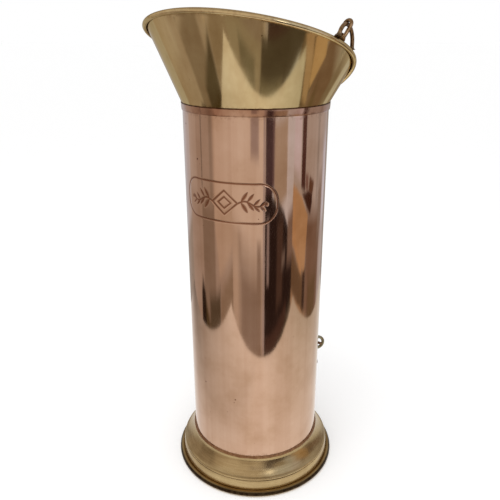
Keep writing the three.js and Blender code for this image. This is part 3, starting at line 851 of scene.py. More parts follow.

# %% [markdown]
# The flare is the most skilled work on the jug: sheet brass beaten out to a slanted funnel. One
# section for each of 320 azimuths makes it. Under the roll the brass is painted dark as shade. The
# polishing rag doesn't reach into the joint, and the roll itself has browned a little, so the brown
# number is high in those rows too.

# %% Brass mouth
MOUTH_TURNS = 320
BRAZED_MOUTH_HALF = 0.8 * MM
# Painted shade under the roll, heat tarnish at the joint and on the roll.
UNDER_ROLL_SHADE, JOINT_BROWN, ROLL_BROWN = 0.8, 0.5, 0.35
mouth_azimuths = around(MOUTH_TURNS)
mouth_rings = [mouth_section(a)[0] for a in mouth_azimuths]
mouth_size = len(mouth_rings[0])
inside_from = mouth_section(0)[1]
mouth = piece(
    "fine_mouth_flare",
    mouth_rings,
    [MOUTH_BRASS, MOUTH_INSIDE],
    "jug",
    ["mouth_flare"],
    pick=lambda k: int(k % mouth_size >= inside_from),
)
mouth_column = np.tile(np.arange(mouth_size), MOUTH_TURNS)
shade_under_roll = np.exp(-(((mouth_column - CLIMB_ROWS - 2) / 0.8) ** 2))
at_joint = np.exp(-(((mouth_column - 2) / 0.5) ** 2))
on_roll = (mouth_column > CLIMB_ROWS + 3) & (mouth_column < inside_from)
mark(mouth, "bloom", UNDER_ROLL_SHADE * shade_under_roll + JOINT_BROWN * at_joint + ROLL_BROWN * on_roll)
from_mouth_seam = np.repeat(np.abs(mouth_azimuths - SEAM_AZIMUTH) * TUBE_RADIUS, mouth_size)
mark(mouth, "brazed", np.clip(1.5 - from_mouth_seam / BRAZED_MOUTH_HALF, 0, 0.7))

# %% [markdown]
# A hand-beaten flare is never quite the straight cone that its edges promise. Over one broad side
# the sheet leans a few degrees further down, and toward the rim it also twists a little to the
# right. That changes what the polished face reflects and nothing that could be measured on its
# outline. Bending the points would spoil the fit on the solid, so they stay where they are and
# only the shading normals lean and twist, most in the middle and fading to nothing on both sides.

# %% Lean and twist of the flare
LEAN_MIDDLE = math.radians(-68)
LEAN_SPREAD = math.radians(62)
LEAN_SLOPE = 0.09
LEAN_FADE = 3
TWIST_MIDDLE = math.radians(-33)
TWIST_SPREAD = math.radians(75)
TWIST = math.radians(4)


def lean_at(azimuth):
    """Angle by which the sheet's face leans down at this azimuth."""
    off = math.remainder(azimuth - LEAN_MIDDLE, 2 * math.pi)
    if abs(off) >= LEAN_SPREAD:
        return 0.0
    centre, climb, outward = rim_at(azimuth)
    meets = centre - outward * (ROLL_RADIUS - SHEET)
    built = (meets.x - JOINT_RADIUS) / (meets.y - JOINT_HEIGHT - GAP)
    share = math.cos(off * math.pi / 2 / LEAN_SPREAD) ** 2
    wanted = climb.x / climb.y + LEAN_SLOPE * share
    return (math.atan(wanted) - math.atan(built)) * min(1, LEAN_FADE * share)


def twist_at(azimuth):
    """Angle by which the top of the sheet faces more toward the right at this azimuth."""
    off = math.remainder(azimuth - TWIST_MIDDLE, 2 * math.pi)
    return TWIST * math.cos(off * math.pi / 2 / TWIST_SPREAD) ** 2 if abs(off) < TWIST_SPREAD else 0.0


leans = np.array([lean_at(a) for a in mouth_azimuths])
twists = np.array([twist_at(a) for a in mouth_azimuths])
print("flare leans by up to %.1f degrees" % math.degrees(leans.max()))

# %% [markdown]
# A face's corner holds the normal that the light is worked out with. Each corner on the climb is
# turned by its own lean and twist, and the finished normals are given back to the mesh at once.

# %% Turn the flare's normals
flare_mesh = mouth.data
corner_count = len(flare_mesh.loops)
corner_points = np.zeros(corner_count, np.int32)
flare_mesh.loops.foreach_get("vertex_index", corner_points)
corner_faces = np.zeros(corner_count, np.int32)
for polygon in flare_mesh.polygons:
    corner_faces[polygon.loop_start : polygon.loop_start + polygon.loop_total] = polygon.index
facing = np.zeros(corner_count * 3, np.float32)
flare_mesh.corner_normals.foreach_get("vector", facing)
facing = facing.reshape(-1, 3)
column = corner_faces % mouth_size
on_climb = (column >= 2) & (column < 2 + CLIMB_ROWS)
turn_of = corner_points // mouth_size
lean = leans[turn_of] * on_climb
climbs = [rim_at(a)[1] for a in mouth_azimuths]
upward = np.array([list(polar(c.x, a, c.y)) for a, c in zip(mouth_azimuths, climbs)])[turn_of]
leaned = facing * np.cos(lean)[:, None] - upward * np.sin(lean)[:, None]
climbed = np.clip((corner_points % mouth_size - 2) / CLIMB_ROWS, 0, 1) * on_climb
sideways = np.stack([-np.sin(mouth_azimuths), np.cos(mouth_azimuths), 0 * mouth_azimuths], axis=-1)
twist = twists[turn_of] * climbed
leaned = leaned * np.cos(twist)[:, None] + sideways[turn_of] * np.sin(twist)[:, None]
flare_mesh.normals_split_custom_set(leaned.tolist())
print("corners turned:", int(on_climb.sum()))

# %% [markdown]
# The core wire lies in the roll and shows only as a dark line where the edge stops short of the
# sheet. From most sides nobody would miss it, but a look into the roll would find it hollow. It
# follows the same rim as the sheet, one ring for each of the sheet's sections.

# %% Core wire of the rim
CORE_SIDES = 12
core_rings = []
for azimuth in mouth_azimuths:
    centre, climb, outward = rim_at(azimuth)
    ring = []
    for angle in around(CORE_SIDES):
        spot = centre - outward * (math.cos(angle) * CORE_RADIUS) + climb * (math.sin(angle) * CORE_RADIUS)
        ring.append(polar(spot.x, azimuth, spot.y))
    core_rings.append(ring)
piece("fine_rim_core_wire", core_rings, [WIRE_BRASS], "jug", ["rim_core_wire"])

# %% [markdown]
# Where brass mouth meets copper collar the solder has run out as a thin dark bead. A dark line in
# the material would lie flat, and a real bead catches the light, so it is a ring of thin wire. It
# isn't even: two waves make it thicker here and thinner there.

# %% Bead of solder under the mouth
BEAD_TURNS = 400
BEAD_SIDES = 10
bead_rings = []
middle = Vector((COLLAR_OUT - 0.35 * MM, JOINT_HEIGHT + 0.5 * GAP))
for azimuth in around(BEAD_TURNS):
    size = (0.34 + 0.05 * math.sin(23 * azimuth) + 0.05 * math.sin(41 * azimuth + 2)) * MM
    round_bead = [(middle.x + size * math.cos(t), middle.y + size * math.sin(t)) for t in around(BEAD_SIDES)]
    bead_rings.append([polar(radius, azimuth, height) for radius, height in round_bead])
piece("solder_bead_under_mouth", bead_rings, [DARK_JOINT], "jug")

# %% [markdown]
# The foot is a spun skirt: a short neck against the tube, a hollow band, a raised ridge and a
# full round band. A spline through many points would wobble, so four short curves draw its line,
# exactly as on the solid but with finer steps.

# %% Line of the foot
FOOT_RIDGE_RADIUS = TUBE_RADIUS + 12.6 * MM
FOOT_RIDGE_HEIGHT = 17.4 * MM
FOOT_NECK_DROP = 3.8 * MM
FOOT_BAND_INSET = 1.7 * MM
EDGE_RADIUS = 3 * MM
REST_HALF = 1.3 * MM
neck_out = TUBE_RADIUS + GAP + SHEET
edge_centre = FOOT_RADIUS - EDGE_RADIUS
band_radius = edge_centre - FOOT_BAND_INSET
edge_middle = math.sqrt(EDGE_RADIUS**2 - REST_HALF**2)
skirt_end = edge_middle + math.sqrt((EDGE_RADIUS - 0.1 * MM) ** 2 - FOOT_BAND_INSET**2)


def on_line(radius, height):
    """A point of the foot's line."""
    return Vector((radius, height))


cone_height = FOOT_HEIGHT - FOOT_NECK_DROP
neck_top = on_line(neck_out, FOOT_HEIGHT)
cone_top = on_line(neck_out + 0.1 * MM, cone_height)
ridge_top = on_line(FOOT_RIDGE_RADIUS - 1.4 * MM, FOOT_RIDGE_HEIGHT + 1.1 * MM)
ridge_foot = on_line(FOOT_RIDGE_RADIUS - 0.3 * MM, FOOT_RIDGE_HEIGHT - 1.5 * MM)
skirt_foot = on_line(band_radius, skirt_end)
bands = [
    (neck_top, on_line(neck_out, cone_height + 1.9 * MM), cone_top),
    (cone_top, on_line(neck_out + 3.5 * MM, FOOT_RIDGE_HEIGHT + 6.3 * MM), ridge_top),
    (ridge_top, on_line(FOOT_RIDGE_RADIUS + 0.5 * MM, FOOT_RIDGE_HEIGHT + 0.6 * MM), ridge_foot),
    (ridge_foot, on_line(band_radius - 0.2 * MM, FOOT_RIDGE_HEIGHT - 3 * MM), skirt_foot),
]
BAND_STEPS = 14
foot_line = [neck_top]
for start, pull_to, end in bands:
    for k in range(1, BAND_STEPS + 1):
        t = k / BAND_STEPS
        foot_line.append(start * (1 - t) ** 2 + pull_to * (2 * t * (1 - t)) + end * t**2)
print("foot's line: %d points over %.1f mm" % (len(foot_line), (neck_top.y - skirt_end) / MM))

# %% [markdown]
# Spun sheet is equally thick everywhere, so the inside is the same line moved inward by the
# sheet's thickness. Under the ridge, at the neck and at the edge the polishing hand doesn't reach.
# Each is one step of the line, so the brown number fades with the number of steps from it.

# %% Foot skirt
FOOT_TURNS = 256


def thick(line, thickness):
    """Both faces of a spun sheet from its outer line."""
    inner = []
    for i, place in enumerate(line):
        along = (line[min(i + 1, len(line) - 1)] - line[max(i - 1, 0)]).normalized()
        inner.append(Vector((place.x + along.y * thickness, place.y - along.x * thickness)))
    return [tuple(p) for p in line] + [tuple(p) for p in reversed(inner)]


skirt_profile = thick(foot_line, SHEET)
skirt_rings = spin(skirt_profile, around(FOOT_TURNS))
skirt = piece("fine_foot_skirt", skirt_rings, [FOOT_BRASS], "jug", ["foot_skirt"])
under_ridge = (3 * BAND_STEPS, 1.1)
at_neck = (0, 0.8)
at_edge = (4 * BAND_STEPS, 0.5)
steps = np.tile(np.arange(len(skirt_profile)), FOOT_TURNS)
browned = sum(np.exp(-(((steps - place) / wide) ** 2)) for place, wide in (under_ridge, at_neck, at_edge))
mark(skirt, "bloom", np.clip(browned, 0, 1))

# %% [markdown]
# The foot's bottom edge is rolled to a bead that the jug stands on. It is flat underneath where
# years of sliding have worn it. Its outer side is painted nearly black as shade, and its top and
# its underside keep their bright brass. A colour by height can't tell the bead's outer side from
# its inner one, so a number on each point says how much painted shade it gets, from the angle
# round the bead.

# %% Rolled bottom edge
EDGE_STEPS = 40
SHADE_TOP_ANGLE = math.radians(82)
SHADE_TOP_FADE = math.radians(34)
SHADE_LOW_ANGLE = math.radians(-22)
SHADE_LOW_FADE = math.radians(12)
flat_angle = math.asin(REST_HALF / EDGE_RADIUS)
shares = np.arange(EDGE_STEPS + 1) / EDGE_STEPS
edge_angles = -math.pi / 2 + flat_angle + shares * (2 * math.pi - 2 * flat_angle)
edge_radii = edge_centre + EDGE_RADIUS * np.cos(edge_angles)
edge_heights = edge_middle + EDGE_RADIUS * np.sin(edge_angles)
edge_profile = np.stack([edge_radii, edge_heights], axis=1)
edge_rings = spin(edge_profile, around(FOOT_TURNS))
roll = piece("fine_foot_roll", edge_rings, [ROLL_BRASS], "jug", ["foot_roll"])
# Painted shade: dark over the bead's outer side, fading out toward its top and toward its underside.
painted_shade_side = np.clip((SHADE_TOP_ANGLE - edge_angles) / SHADE_TOP_FADE, 0, 1)
shade_above_underside = np.clip((edge_angles - SHADE_LOW_ANGLE) / SHADE_LOW_FADE, 0, 1)
mark(roll, "bloom", np.tile(painted_shade_side * shade_above_underside, FOOT_TURNS))

# %% [markdown]
# The foot is soldered to the tube. The solder was drawn in with heat and fills the corner with a
# hollow brown fillet, which is what the eye sees between copper and brass. Its section is drawn
# point by point, and three waves let its upper and lower edges wander as solder does.

# %% Fillet between tube and foot
FILLET_TURNS = 360
FILLET_LUMP = 0.12 * MM
FILLET_WAVES = ((1, 19, 0), (1, 31, 2), (0.5, 7, 0))
fillet_profile = [
    (TUBE_RADIUS + 0.04 * MM, FOOT_HEIGHT + 1.2 * MM),
    (TUBE_RADIUS + 0.25 * MM, FOOT_HEIGHT + 0.7 * MM),
    (TUBE_RADIUS + 0.75 * MM, FOOT_HEIGHT + 0.35 * MM),
    (neck_out + 0.1 * MM, FOOT_HEIGHT + 0.12 * MM),
    (neck_out + 0.3 * MM, FOOT_HEIGHT - 0.3 * MM),
    (neck_out + 0.22 * MM, FOOT_HEIGHT - 0.9 * MM),
    (neck_out + 0.04 * MM, FOOT_HEIGHT - 1.5 * MM),
    (neck_out + 0.01 * MM, FOOT_HEIGHT - 0.8 * MM),
    (neck_out, FOOT_HEIGHT + 0.02 * MM),
    (TUBE_RADIUS + 0.02 * MM, FOOT_HEIGHT + 0.1 * MM),
]
fillet_azimuths = around(FILLET_TURNS)
fillet_rings = spin(fillet_profile, fillet_azimuths)
waves = sum(size * np.sin(turns * fillet_azimuths + shift) for size, turns, shift in FILLET_WAVES)
lumpy = FILLET_LUMP * waves
fillet_rings[:, 0, 2] += lumpy
fillet_rings[:, 1:3, 2] += 0.6 * lumpy[:, None]
fillet_rings[:, 5:7, 2] -= lumpy[:, None]
piece("solder_fillet_above_foot", fillet_rings, [FOOT_SOLDER], "jug", sharp=60)

# %% [markdown]
# A wire that stands on a surface is held by a small cone of solder round its root. A Blender cone
# would have straight sides and look like a spike. Solder creeps up the wire and out over the
# sheet, so the side is hollow and its edge uneven. One function makes such a cone from where it
# stands, which way it points and how wide it spreads.

# %% Cone of solder round a wire
CONE_SIDES = 28
CONE_STEPS = 6
CONE_HOLLOW = 2.2
print("points in a cone:", CONE_SIDES * (CONE_STEPS + 3))


def solder_cone(name, root, way, wire_radius, spread, tall):
    """A hollow-sided ring of solder round a wire's root, wide at the surface and thin at the top."""
    way = Vector(way).normalized()
    side = way.orthogonal().normalized()
    if abs(way.z) < 0.9:
        side = Vector((0, 0, 1)).cross(way).normalized()
    other = way.cross(side)
    rings = []
    within = wire_radius - 0.15 * MM
    for angle in around(CONE_SIDES):
        uneven = 1 + 0.12 * math.sin(3 * angle + 1) + 0.08 * math.sin(5 * angle)
        out = side * math.cos(angle) + other * math.sin(angle)
        ring = []
        for j in range(CONE_STEPS + 1):
            share = j / CONE_STEPS
            reach = wire_radius + (spread - wire_radius) * (1 - share) ** CONE_HOLLOW * uneven
            ring.append(root + out * reach + way * (tall * share))
        ring += [root + out * within + way * tall, root + out * within]
        rings.append(ring)
    return piece(name, rings, [SOLDER], "jug", sharp=60)


# %% [markdown]
# The ears are arches of wire that stand on the rim, and the chain's end links ride over them. The
# arch's middle is on the rim 9 degrees forward of the side. The rim climbs toward the spout, so
# the front leg is shorter than the back one. A short search along the rim finds where each leg
# lands, which holds for any rim and needs no formula turned round.

# %% Feet of the ears
EAR_AZIMUTH = math.radians(-9.2)
EAR_RADIUS = 13.6 * MM
HALVINGS = 40
ear_rim = rim_at(EAR_AZIMUTH)[0]
ear_centre = polar(ear_rim.x, EAR_AZIMUTH, ear_rim.y + ROLL_RADIUS)


def rim_azimuth_at(y):
    """Azimuth where the rolled rim passes this Y on the right-hand side."""
    low, high = -math.pi / 3, math.pi / 6
    for _ in range(HALVINGS):
        middle = (low + high) / 2
        if rim_at(middle)[0].x * math.sin(middle) < y:
            low = middle
        else:
            high = middle
    return low


def ear_foot(side, y):
    """Where a leg of the ear meets the rim."""
    rim = rim_at(rim_azimuth_at(y))[0]
    return Vector((side * ear_centre.x, y, rim.y + ROLL_RADIUS + GAP))


print("ears stand %.1f mm from the middle" % (ear_centre.x / MM))

# %% [markdown]
# Each ear is brass wire of 3.2 mm bent over a round former. A torus cut in half would end level,
# so the wire is swept along its own path: it stops early in front, where the rim is high, and
# runs straight down behind. Each leg stands in its own cone of solder.

# %% Ears
EAR_WIRE = 1.6 * MM
EAR_STEPS = 40
EAR_SIDES = 20
EAR_SINK = 0.7 * MM


def ear_path(side):
    """Centre line of an ear, from its back foot over the arch to its front foot."""
    front = ear_foot(side, ear_centre.y - EAR_RADIUS)
    back = ear_foot(side, ear_centre.y + EAR_RADIUS)
    reach = math.pi - math.asin((front.z + 0.6 * MM - ear_centre.z) / EAR_RADIUS)
    path = [back]
    for k in range(EAR_STEPS + 1):
        angle = k / EAR_STEPS * reach
        y = ear_centre.y + EAR_RADIUS * math.cos(angle)
        z = ear_centre.z + EAR_RADIUS * math.sin(angle)
        path.append(Vector((side * ear_centre.x, y, z)))
    return path


for side, name in ((1, "ear_right"), (-1, "ear_left")):
    path = ear_path(side)
    rings = wire_rings(path, EAR_WIRE, EAR_SIDES, False, (1, 0, 0))
    piece("fine_" + name, rings, [WIRE_BRASS], "jug", [name], looped=False)
    for end, foot, toward in (("front", path[-1], path[-2]), ("back", path[0], path[1])):
        seat = foot - (toward - foot).normalized() * EAR_SINK
        solder_cone("solder_%s_%s" % (name, end), seat, toward - foot, EAR_WIRE, 2.9 * MM, 2.3 * MM)

# %% [markdown]
# The chain's links are bent from brass wire and brazed shut, and every one lies another way. Their
# places could be worked out once more, but a link can be found again from its own solid: its
# middle is the middle of the solid's points, and the principal directions of those points say how
# it lies. That keeps the fine links exactly where the physics has them.

# %% Where the links lie
LINK_NAMES = sorted(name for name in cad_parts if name.startswith("chain_link"))


def lie_of(name):
    """Middle, long way and wide way of a link, from the points of its solid."""
    spots = np.array([v.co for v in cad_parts[name].data.vertices])
    middle = spots.mean(axis=0)
    ways = np.linalg.eigh(np.cov((spots - middle).T))[1]
    return Vector(middle), Vector(ways[:, 2]), Vector(ways[:, 1])


print("links in the chain:", len(LINK_NAMES))

# %% [markdown]
# A fine oval of round wire is laid on those directions: two half circles and two straight sides.
# Where the ends were brazed together in the middle of one side, the wire swells a little, which
# is how a hand-made link differs from a stamped one.

# %% Chain links
LINK_WIRE = 1.5 * MM
LINK_HALF = 9 * MM - LINK_WIRE
LINK_ROUND = 5.4 * MM - LINK_WIRE
LINK_ARC_STEPS = 14
LINK_SIDE_STEPS = 8
LINK_SIDES = 14
LINK_SWELL = 0.09
LINK_SWELL_HALF = 0.13


def link_path(middle, along, wide):
    """Centre line of a link and the wire's radius at each of its points."""
    path = []
    sizes = []
    straight = LINK_HALF - LINK_ROUND
    for end in (1, -1):
        for k in range(LINK_ARC_STEPS + 1):
            angle = k / LINK_ARC_STEPS * math.pi
            reach = end * (straight + LINK_ROUND * math.sin(angle))
            path.append(middle + along * reach + wide * (end * LINK_ROUND * math.cos(angle)))
            sizes.append(LINK_WIRE)
        for k in range(1, LINK_SIDE_STEPS):
            share = k / LINK_SIDE_STEPS
            path.append(middle + along * (end * straight * (1 - 2 * share)) - wide * (end * LINK_ROUND))
            swollen = LINK_SWELL * math.exp(-(((share - 0.5) / LINK_SWELL_HALF) ** 2)) if end == 1 else 0
            sizes.append(LINK_WIRE * (1 + swollen))
    return path, sizes


for name in LINK_NAMES:
    middle, along, wide = lie_of(name)
    path, sizes = link_path(middle, along, wide)
    rings = wire_rings(path, sizes, LINK_SIDES, True, along.cross(wide))
    piece("fine_" + name, rings, [WIRE_BRASS], "carrying_chain", [name])

# %% [markdown]
# Low on the back stand two staples, half rings of wire as thick as the ears', soldered to the
# tube at both roots. The drop handle hangs in them. A part of a torus would give the bend, but not the two
# straight legs that carry it off the tube, so they are swept along a path like the ears.

# %% Staples
STAPLE_AZIMUTH = math.radians(45)
STAPLE_HEIGHT = 120.7 * MM
STAPLE_WIRE = 1.6 * MM
STAPLE_RISE = 6.6 * MM
STAPLE_REACH = 9.9 * MM
STAPLE_STEPS = 32
STAPLE_SIDES = 20


def staple_path(azimuth):
    """Centre line of a staple, from its low root to its high one."""
    straight = STAPLE_REACH - STAPLE_RISE
    root = TUBE_RADIUS + GAP + 0.1 * MM
    path = [polar(root, azimuth, STAPLE_HEIGHT - STAPLE_RISE)]
    for k in range(STAPLE_STEPS + 1):
        angle = -math.pi / 2 + k / STAPLE_STEPS * math.pi
        reach = TUBE_RADIUS + straight + STAPLE_RISE * math.cos(angle)
        path.append(polar(reach, azimuth, STAPLE_HEIGHT + STAPLE_RISE * math.sin(angle)))
    path.append(polar(root, azimuth, STAPLE_HEIGHT + STAPLE_RISE))
    return path


for name, azimuth in (("staple_right", STAPLE_AZIMUTH), ("staple_left", math.pi - STAPLE_AZIMUTH)):
    across = (-math.sin(azimuth), math.cos(azimuth), 0)
    path = staple_path(azimuth)
    rings = wire_rings(path, STAPLE_WIRE, STAPLE_SIDES, False, across)
    piece("fine_" + name, rings, [STAPLE_BRASS], "jug", [name], looped=False)
    for end, foot in (("low", path[0]), ("high", path[-1])):
        seat = polar(TUBE_RADIUS - 0.1 * MM, azimuth, foot.z)
        outward = polar(1, azimuth, 0)
        solder_cone("solder_%s_%s" % (name, end), seat, outward, STAPLE_WIRE, 3.1 * MM, 1.9 * MM)

# %% [markdown]
# The drop handle is one long wire bent at a few corners. A bevelled curve would round them by its
# own handles, so two small functions do it by measure: one replaces each corner by a short curve
# of a given length, the other domes the ends, as a wire that was cut and filed is domed.

# %% Bends and domed ends
DOME_SHARES = (0.02, 0.15, 0.4, 0.7, 1.0)


def bent(corners, cutbacks, steps):
    """Centre line through corners, each replaced by a short curve that starts this far before it."""
    path = [corners[0]]
    for i, cut in enumerate(cutbacks, start=1):
        before = corners[i] + (corners[i - 1] - corners[i]).normalized() * cut
        after = corners[i] + (corners[i + 1] - corners[i]).normalized() * cut
        for k in range(steps + 1):
            t = k / steps
            path.append(before * (1 - t) ** 2 + corners[i] * (2 * t * (1 - t)) + after * t**2)
    path.append(corners[-1])
    return path


def domed(path, radius):
    """Adds points near both ends of a wire and gives all points their radii, so its ends are round."""
    ends = []
    for first, second in ((path[0], path[1]), (path[-1], path[-2])):
        inward = (second - first).normalized()
        dome = [(first + inward * (radius * s), radius * math.sqrt(1 - (1 - s) ** 2)) for s in DOME_SHARES]
        ends.append(dome)
    middle = [(spot, radius) for spot in path[1:-1]]
    both = ends[0] + middle + ends[1][::-1]
    return [p for p, _ in both], [r for _, r in both]


# %% [markdown]
# The handle's two ends are pins that point outward through the staples. From them the arms hang
# down, turn inward and run on as a bow round the back of the tube. Only the right arm is given,
# with the solid's own corners, and the left one is its mirror, as on the real handle.

# %% Drop handle
HANDLE_WIRE = 1.4 * MM
HANDLE_PIN_DROP = 1 * MM
HANDLE_PIN_LENGTH = 8.3 * MM
HANDLE_ARM = 12 * MM
HANDLE_DROP = 24 * MM
HANDLE_SAG = 7 * MM
HANDLE_SIDES = 18
BEND_STEPS = 10
BOW_STEPS = 60
CORNER_AZIMUTH = math.radians(42.3)
WRAP_AZIMUTH = math.radians(53)
pin_y = (TUBE_RADIUS + STAPLE_REACH) * math.sin(STAPLE_AZIMUTH) - STAPLE_WIRE - HANDLE_WIRE - GAP
pin_z = STAPLE_HEIGHT - HANDLE_PIN_DROP
arm_x = pin_y - (STAPLE_WIRE + HANDLE_WIRE + GAP + 0.02 * MM) * math.sqrt(2)
wrap_radius = TUBE_RADIUS + HANDLE_WIRE + 0.5 * MM
bow_z = pin_z - HANDLE_DROP
arm = bent(
    [
        Vector((arm_x + HANDLE_PIN_LENGTH, pin_y, pin_z)),
        Vector((arm_x, pin_y, pin_z)),
        Vector((arm_x, pin_y, pin_z - HANDLE_ARM)),
        polar(wrap_radius + 1.1 * MM, CORNER_AZIMUTH, bow_z),
        polar(wrap_radius, WRAP_AZIMUTH, bow_z - 2 * MM),
    ],
    [2.4 * MM, 4 * MM, 3.4 * MM],
    BEND_STEPS,
)[:-1]
bow = []
for k in range(BOW_STEPS + 1):
    share = k / BOW_STEPS
    azimuth = WRAP_AZIMUTH + share * (math.pi - 2 * WRAP_AZIMUTH)
    bow.append(polar(wrap_radius, azimuth, bow_z - 2 * MM - HANDLE_SAG * math.sin(share * math.pi)))
other_arm = [Vector((-p.x, p.y, p.z)) for p in reversed(arm)]
handle_path, handle_sizes = domed(arm + bow + other_arm, HANDLE_WIRE)
handle_rings = wire_rings(handle_path, handle_sizes, HANDLE_SIDES, False, (0, 1, 0))
piece(
    "fine_drop_handle",
    handle_rings,
    [WIRE_BRASS],
    "drop_handle",
    ["drop_handle"],
    looped=False,
)

# %% [markdown]
# The jug stands on a plain pale floor under a white sky. A curved backdrop would also hide the
# horizon, but only from one side. A faint glow of its own lifts the floor to the sky's white, so
# that no horizon shows from anywhere, and leaves only the soft shadow at the foot. Reflections
# don't see the floor, because the cards below show the metal its surroundings.

# %% Floor and sky
FLOOR_HALF = 40.0
FLOOR_GLOW = 0.09


def studio_board(name, corners, faces, material):
    """A flat thing of the studio, which isn't part of the jug."""
    mesh = bpy.data.meshes.new(name)
    mesh.from_pydata(corners, [], faces)
    mesh.materials.append(material)
    made = bpy.data.objects.new(name, mesh)
    bpy.context.scene.collection.objects.link(made)
    return made


floor_paint = bpy.data.materials.new("pale_floor_paint")
floor_paint.use_nodes = True
paint = floor_paint.node_tree.nodes["Principled BSDF"]
paint.inputs["Base Color"].default_value = linear("#F4F4F4")
paint.inputs["Roughness"].default_value = 0.9
paint.inputs["Specular IOR Level"].default_value = 0.1
paint.inputs["Emission Color"].default_value = (1, 1, 1, 1)
paint.inputs["Emission Strength"].default_value = FLOOR_GLOW
floor_corners = [(x * FLOOR_HALF, y * FLOOR_HALF, 0) for x, y in ((-1, -1), (1, -1), (1, 1), (-1, 1))]
floor = studio_board("floor", floor_corners, [(0, 1, 2, 3)], floor_paint)
floor.visible_glossy = False

world = bpy.data.worlds.new("white_sky")
bpy.context.scene.world = world
world.use_nodes = True
sky = world.node_tree.nodes["Background"]
sky.inputs["Color"].default_value = (1, 1, 1, 1)
sky.inputs["Strength"].default_value = 1.0
print("floor: %.0f m wide, with a glow of %.2f" % (2 * FLOOR_HALF, FLOOR_GLOW))

# %% [markdown]
# Polished metal shows its surroundings. A photographed room would show them too, but a picture
# can't be changed piece by piece, and a studio controls its reflections with cards: pale and dark
# boards that only reflections see. Here four walls of cards stand 200 mm beyond a white table
# top. The table is a rectangle turned 47 degrees to the jug, and its edges draw the round-bottomed
# shapes on the tube. The walls reach below the table, because the mouth's leaning face looks down
# past the table's edge. Each edge is given by the way it faces, in degrees, and its distance from
# the jug's axis in millimetres.
#
# A card is given by its wall, its colour, the width of its soft border and its corners as (side,
# height) in millimetres, counter-clockwise. Later cards hang in front of earlier ones.

# %% Walls round the table
TABLE_EDGES = {"front": (-47.1, 310), "right": (43.0, 387), "left": (-137.0, 363), "back": (133.0, 370)}
WALL_BEYOND = 200
WALL_LOW = -800
WALL_HIGH = 1000


def block(left, right, low, high):
    """Corners of a rectangle, counter-clockwise."""
    return [(left, low), (right, low), (right, high), (left, high)]


for wall, (facing, edge) in TABLE_EDGES.items():
    print("%s wall: faces %.1f degrees, %d mm from the axis" % (wall, facing, edge + WALL_BEYOND))

# %% [markdown]
# The middle of the tube and the pouring side of the flare mirror the front wall. Its left half is
# pale, with soft upright bands that give the polish its depth. Its right half has a beige patch
# and a large dark block, whose sharp edges tell a mirror from satin.

# %% Front wall
DARK_BLOCK = [(26, -420), (700, -420), (700, -60), (330, 128), (250, 160), (88, 190), (26, 190)]
CARDS = [
    # Left half: pale, with soft upright bands beside its dark neighbour.
    ("front", "#EBE3DD", 0, block(-1200, 1200, WALL_LOW, WALL_HIGH)),
    ("front", "#E6EEFF", 0, block(40, 1200, 60, WALL_HIGH)),
    ("front", "#D2C6BC", 60, block(-900, -300, -300, 120)),
    ("front", "#A2958D", 110, block(-420, 60, -420, 110)),
    ("front", "#ABA294", 30, block(-900, 60, -420, -135)),
    ("front", "#857F70", 40, block(-360, -100, -340, -190)),
    ("front", "#B5AAAC", 22, block(-175, -45, 235, 350)),
    ("front", "#A2948B", 18, block(-84, -14, -150, 110)),
    ("front", "#B9B2BA", 8, block(0, 30, -120, 420)),
    # Right half: a dark upright, a beige patch and the large dark block.
    ("front", "#75646A", 16, block(60, 166, 182, 328)),
    ("front", "#55464C", 8, block(28, 128, 176, 328)),
    ("front", "#BFB3A6", 20, block(142, 390, 140, 312)),
    ("front", "#332826", 6, DARK_BLOCK),
    ("front", "#5C5549", 16, [(-44, -420), (700, -420), (700, -112), (-44, -112)]),
    ("front", "#8B8676", 60, [(-60, -600), (420, -600), (300, -265), (-60, -225)]),
    ("front", "#E4ECF6", 40, [(300, -600), (640, -600), (600, -290), (300, -322)]),
    ("front", "#54403A", 14, block(30, 420, -128, -72)),
    ("front", "#A39AA0", 9, block(52, 92, 20, 150)),
    ("front", "#57463F", 30, block(190, 330, -60, 140)),
    ("front", "#8E8684", 24, block(285, 375, 8, 60)),
    ("front", "#E2ECFF", 26, block(400, 900, 110, WALL_HIGH)),
    ("front", "#95867F", 34, [(400, -10), (900, -120), (900, 100), (400, 120)]),
]
print("cards on the front wall:", len(CARDS))

# %% [markdown]
# The right wall shows in the tube's right edge and in the flare's. It is pale above and far to the
# right. On its left hang a light tan card, which turns orange in copper, and dark wedges round it,
# which make it look bright.

# %% Right wall
CARDS += [
    ("right", "#C9C8CC", 0, block(-1200, 1200, WALL_LOW, WALL_HIGH)),
    ("right", "#E6E8FF", 30, block(-1200, -290, 158, WALL_HIGH)),
    ("right", "#C7C5C8", 40, block(-330, 180, 150, 500)),
    ("right", "#8D786B", 60, block(-180, 290, -260, 156)),
    ("right", "#7A6953", 40, block(-80, 190, -170, 10)),
    ("right", "#7A6854", 40, block(-700, -120, -340, 20)),
    ("right", "#B0AEB0", 26, block(72, 150, 120, 420)),
    ("right", "#BFA68B", 20, [(-620, -420), (-96, -420), (-96, -76), (-240, -98), (-620, -116)]),
    ("right", "#7A6C58", 12, [(-620, -420), (-96, -420), (-96, -133), (-620, -253)]),
    ("right", "#746350", 12, [(-215, -300), (-96, -300), (-96, -80), (-215, -158)]),
    ("right", "#D4B48E", 7, [(-640, -10), (-440, 12), (-235, -20), (-108, 118), (-275, 148), (-640, 140)]),
    ("right", "#4A3128", 5, [(-290, 150), (-60, 118), (-20, 146), (-30, 166), (-128, 168)]),
    ("right", "#5C423E", 10, block(-298, -196, 154, 330)),
    ("right", "#715442", 6, [(-124, 164), (-18, 158), (18, 186), (-100, 198)]),
    ("right", "#937B78", 8, block(-196, -124, 162, 200)),
    ("right", "#4C3E38", 14, block(-205, -132, -86, 14)),
    ("right", "#DDE4F8", 50, block(300, 1200, 30, 260)),
    ("right", "#9C928C", 50, block(140, 340, 36, 200)),
]
print("cards on the front and right walls:", len(CARDS))

# %% [markdown]
# The left wall is pale, with a grey middle that darkens toward the table, and one dark rounded
# card. The back wall is plain, because only the far side of the jug mirrors it.

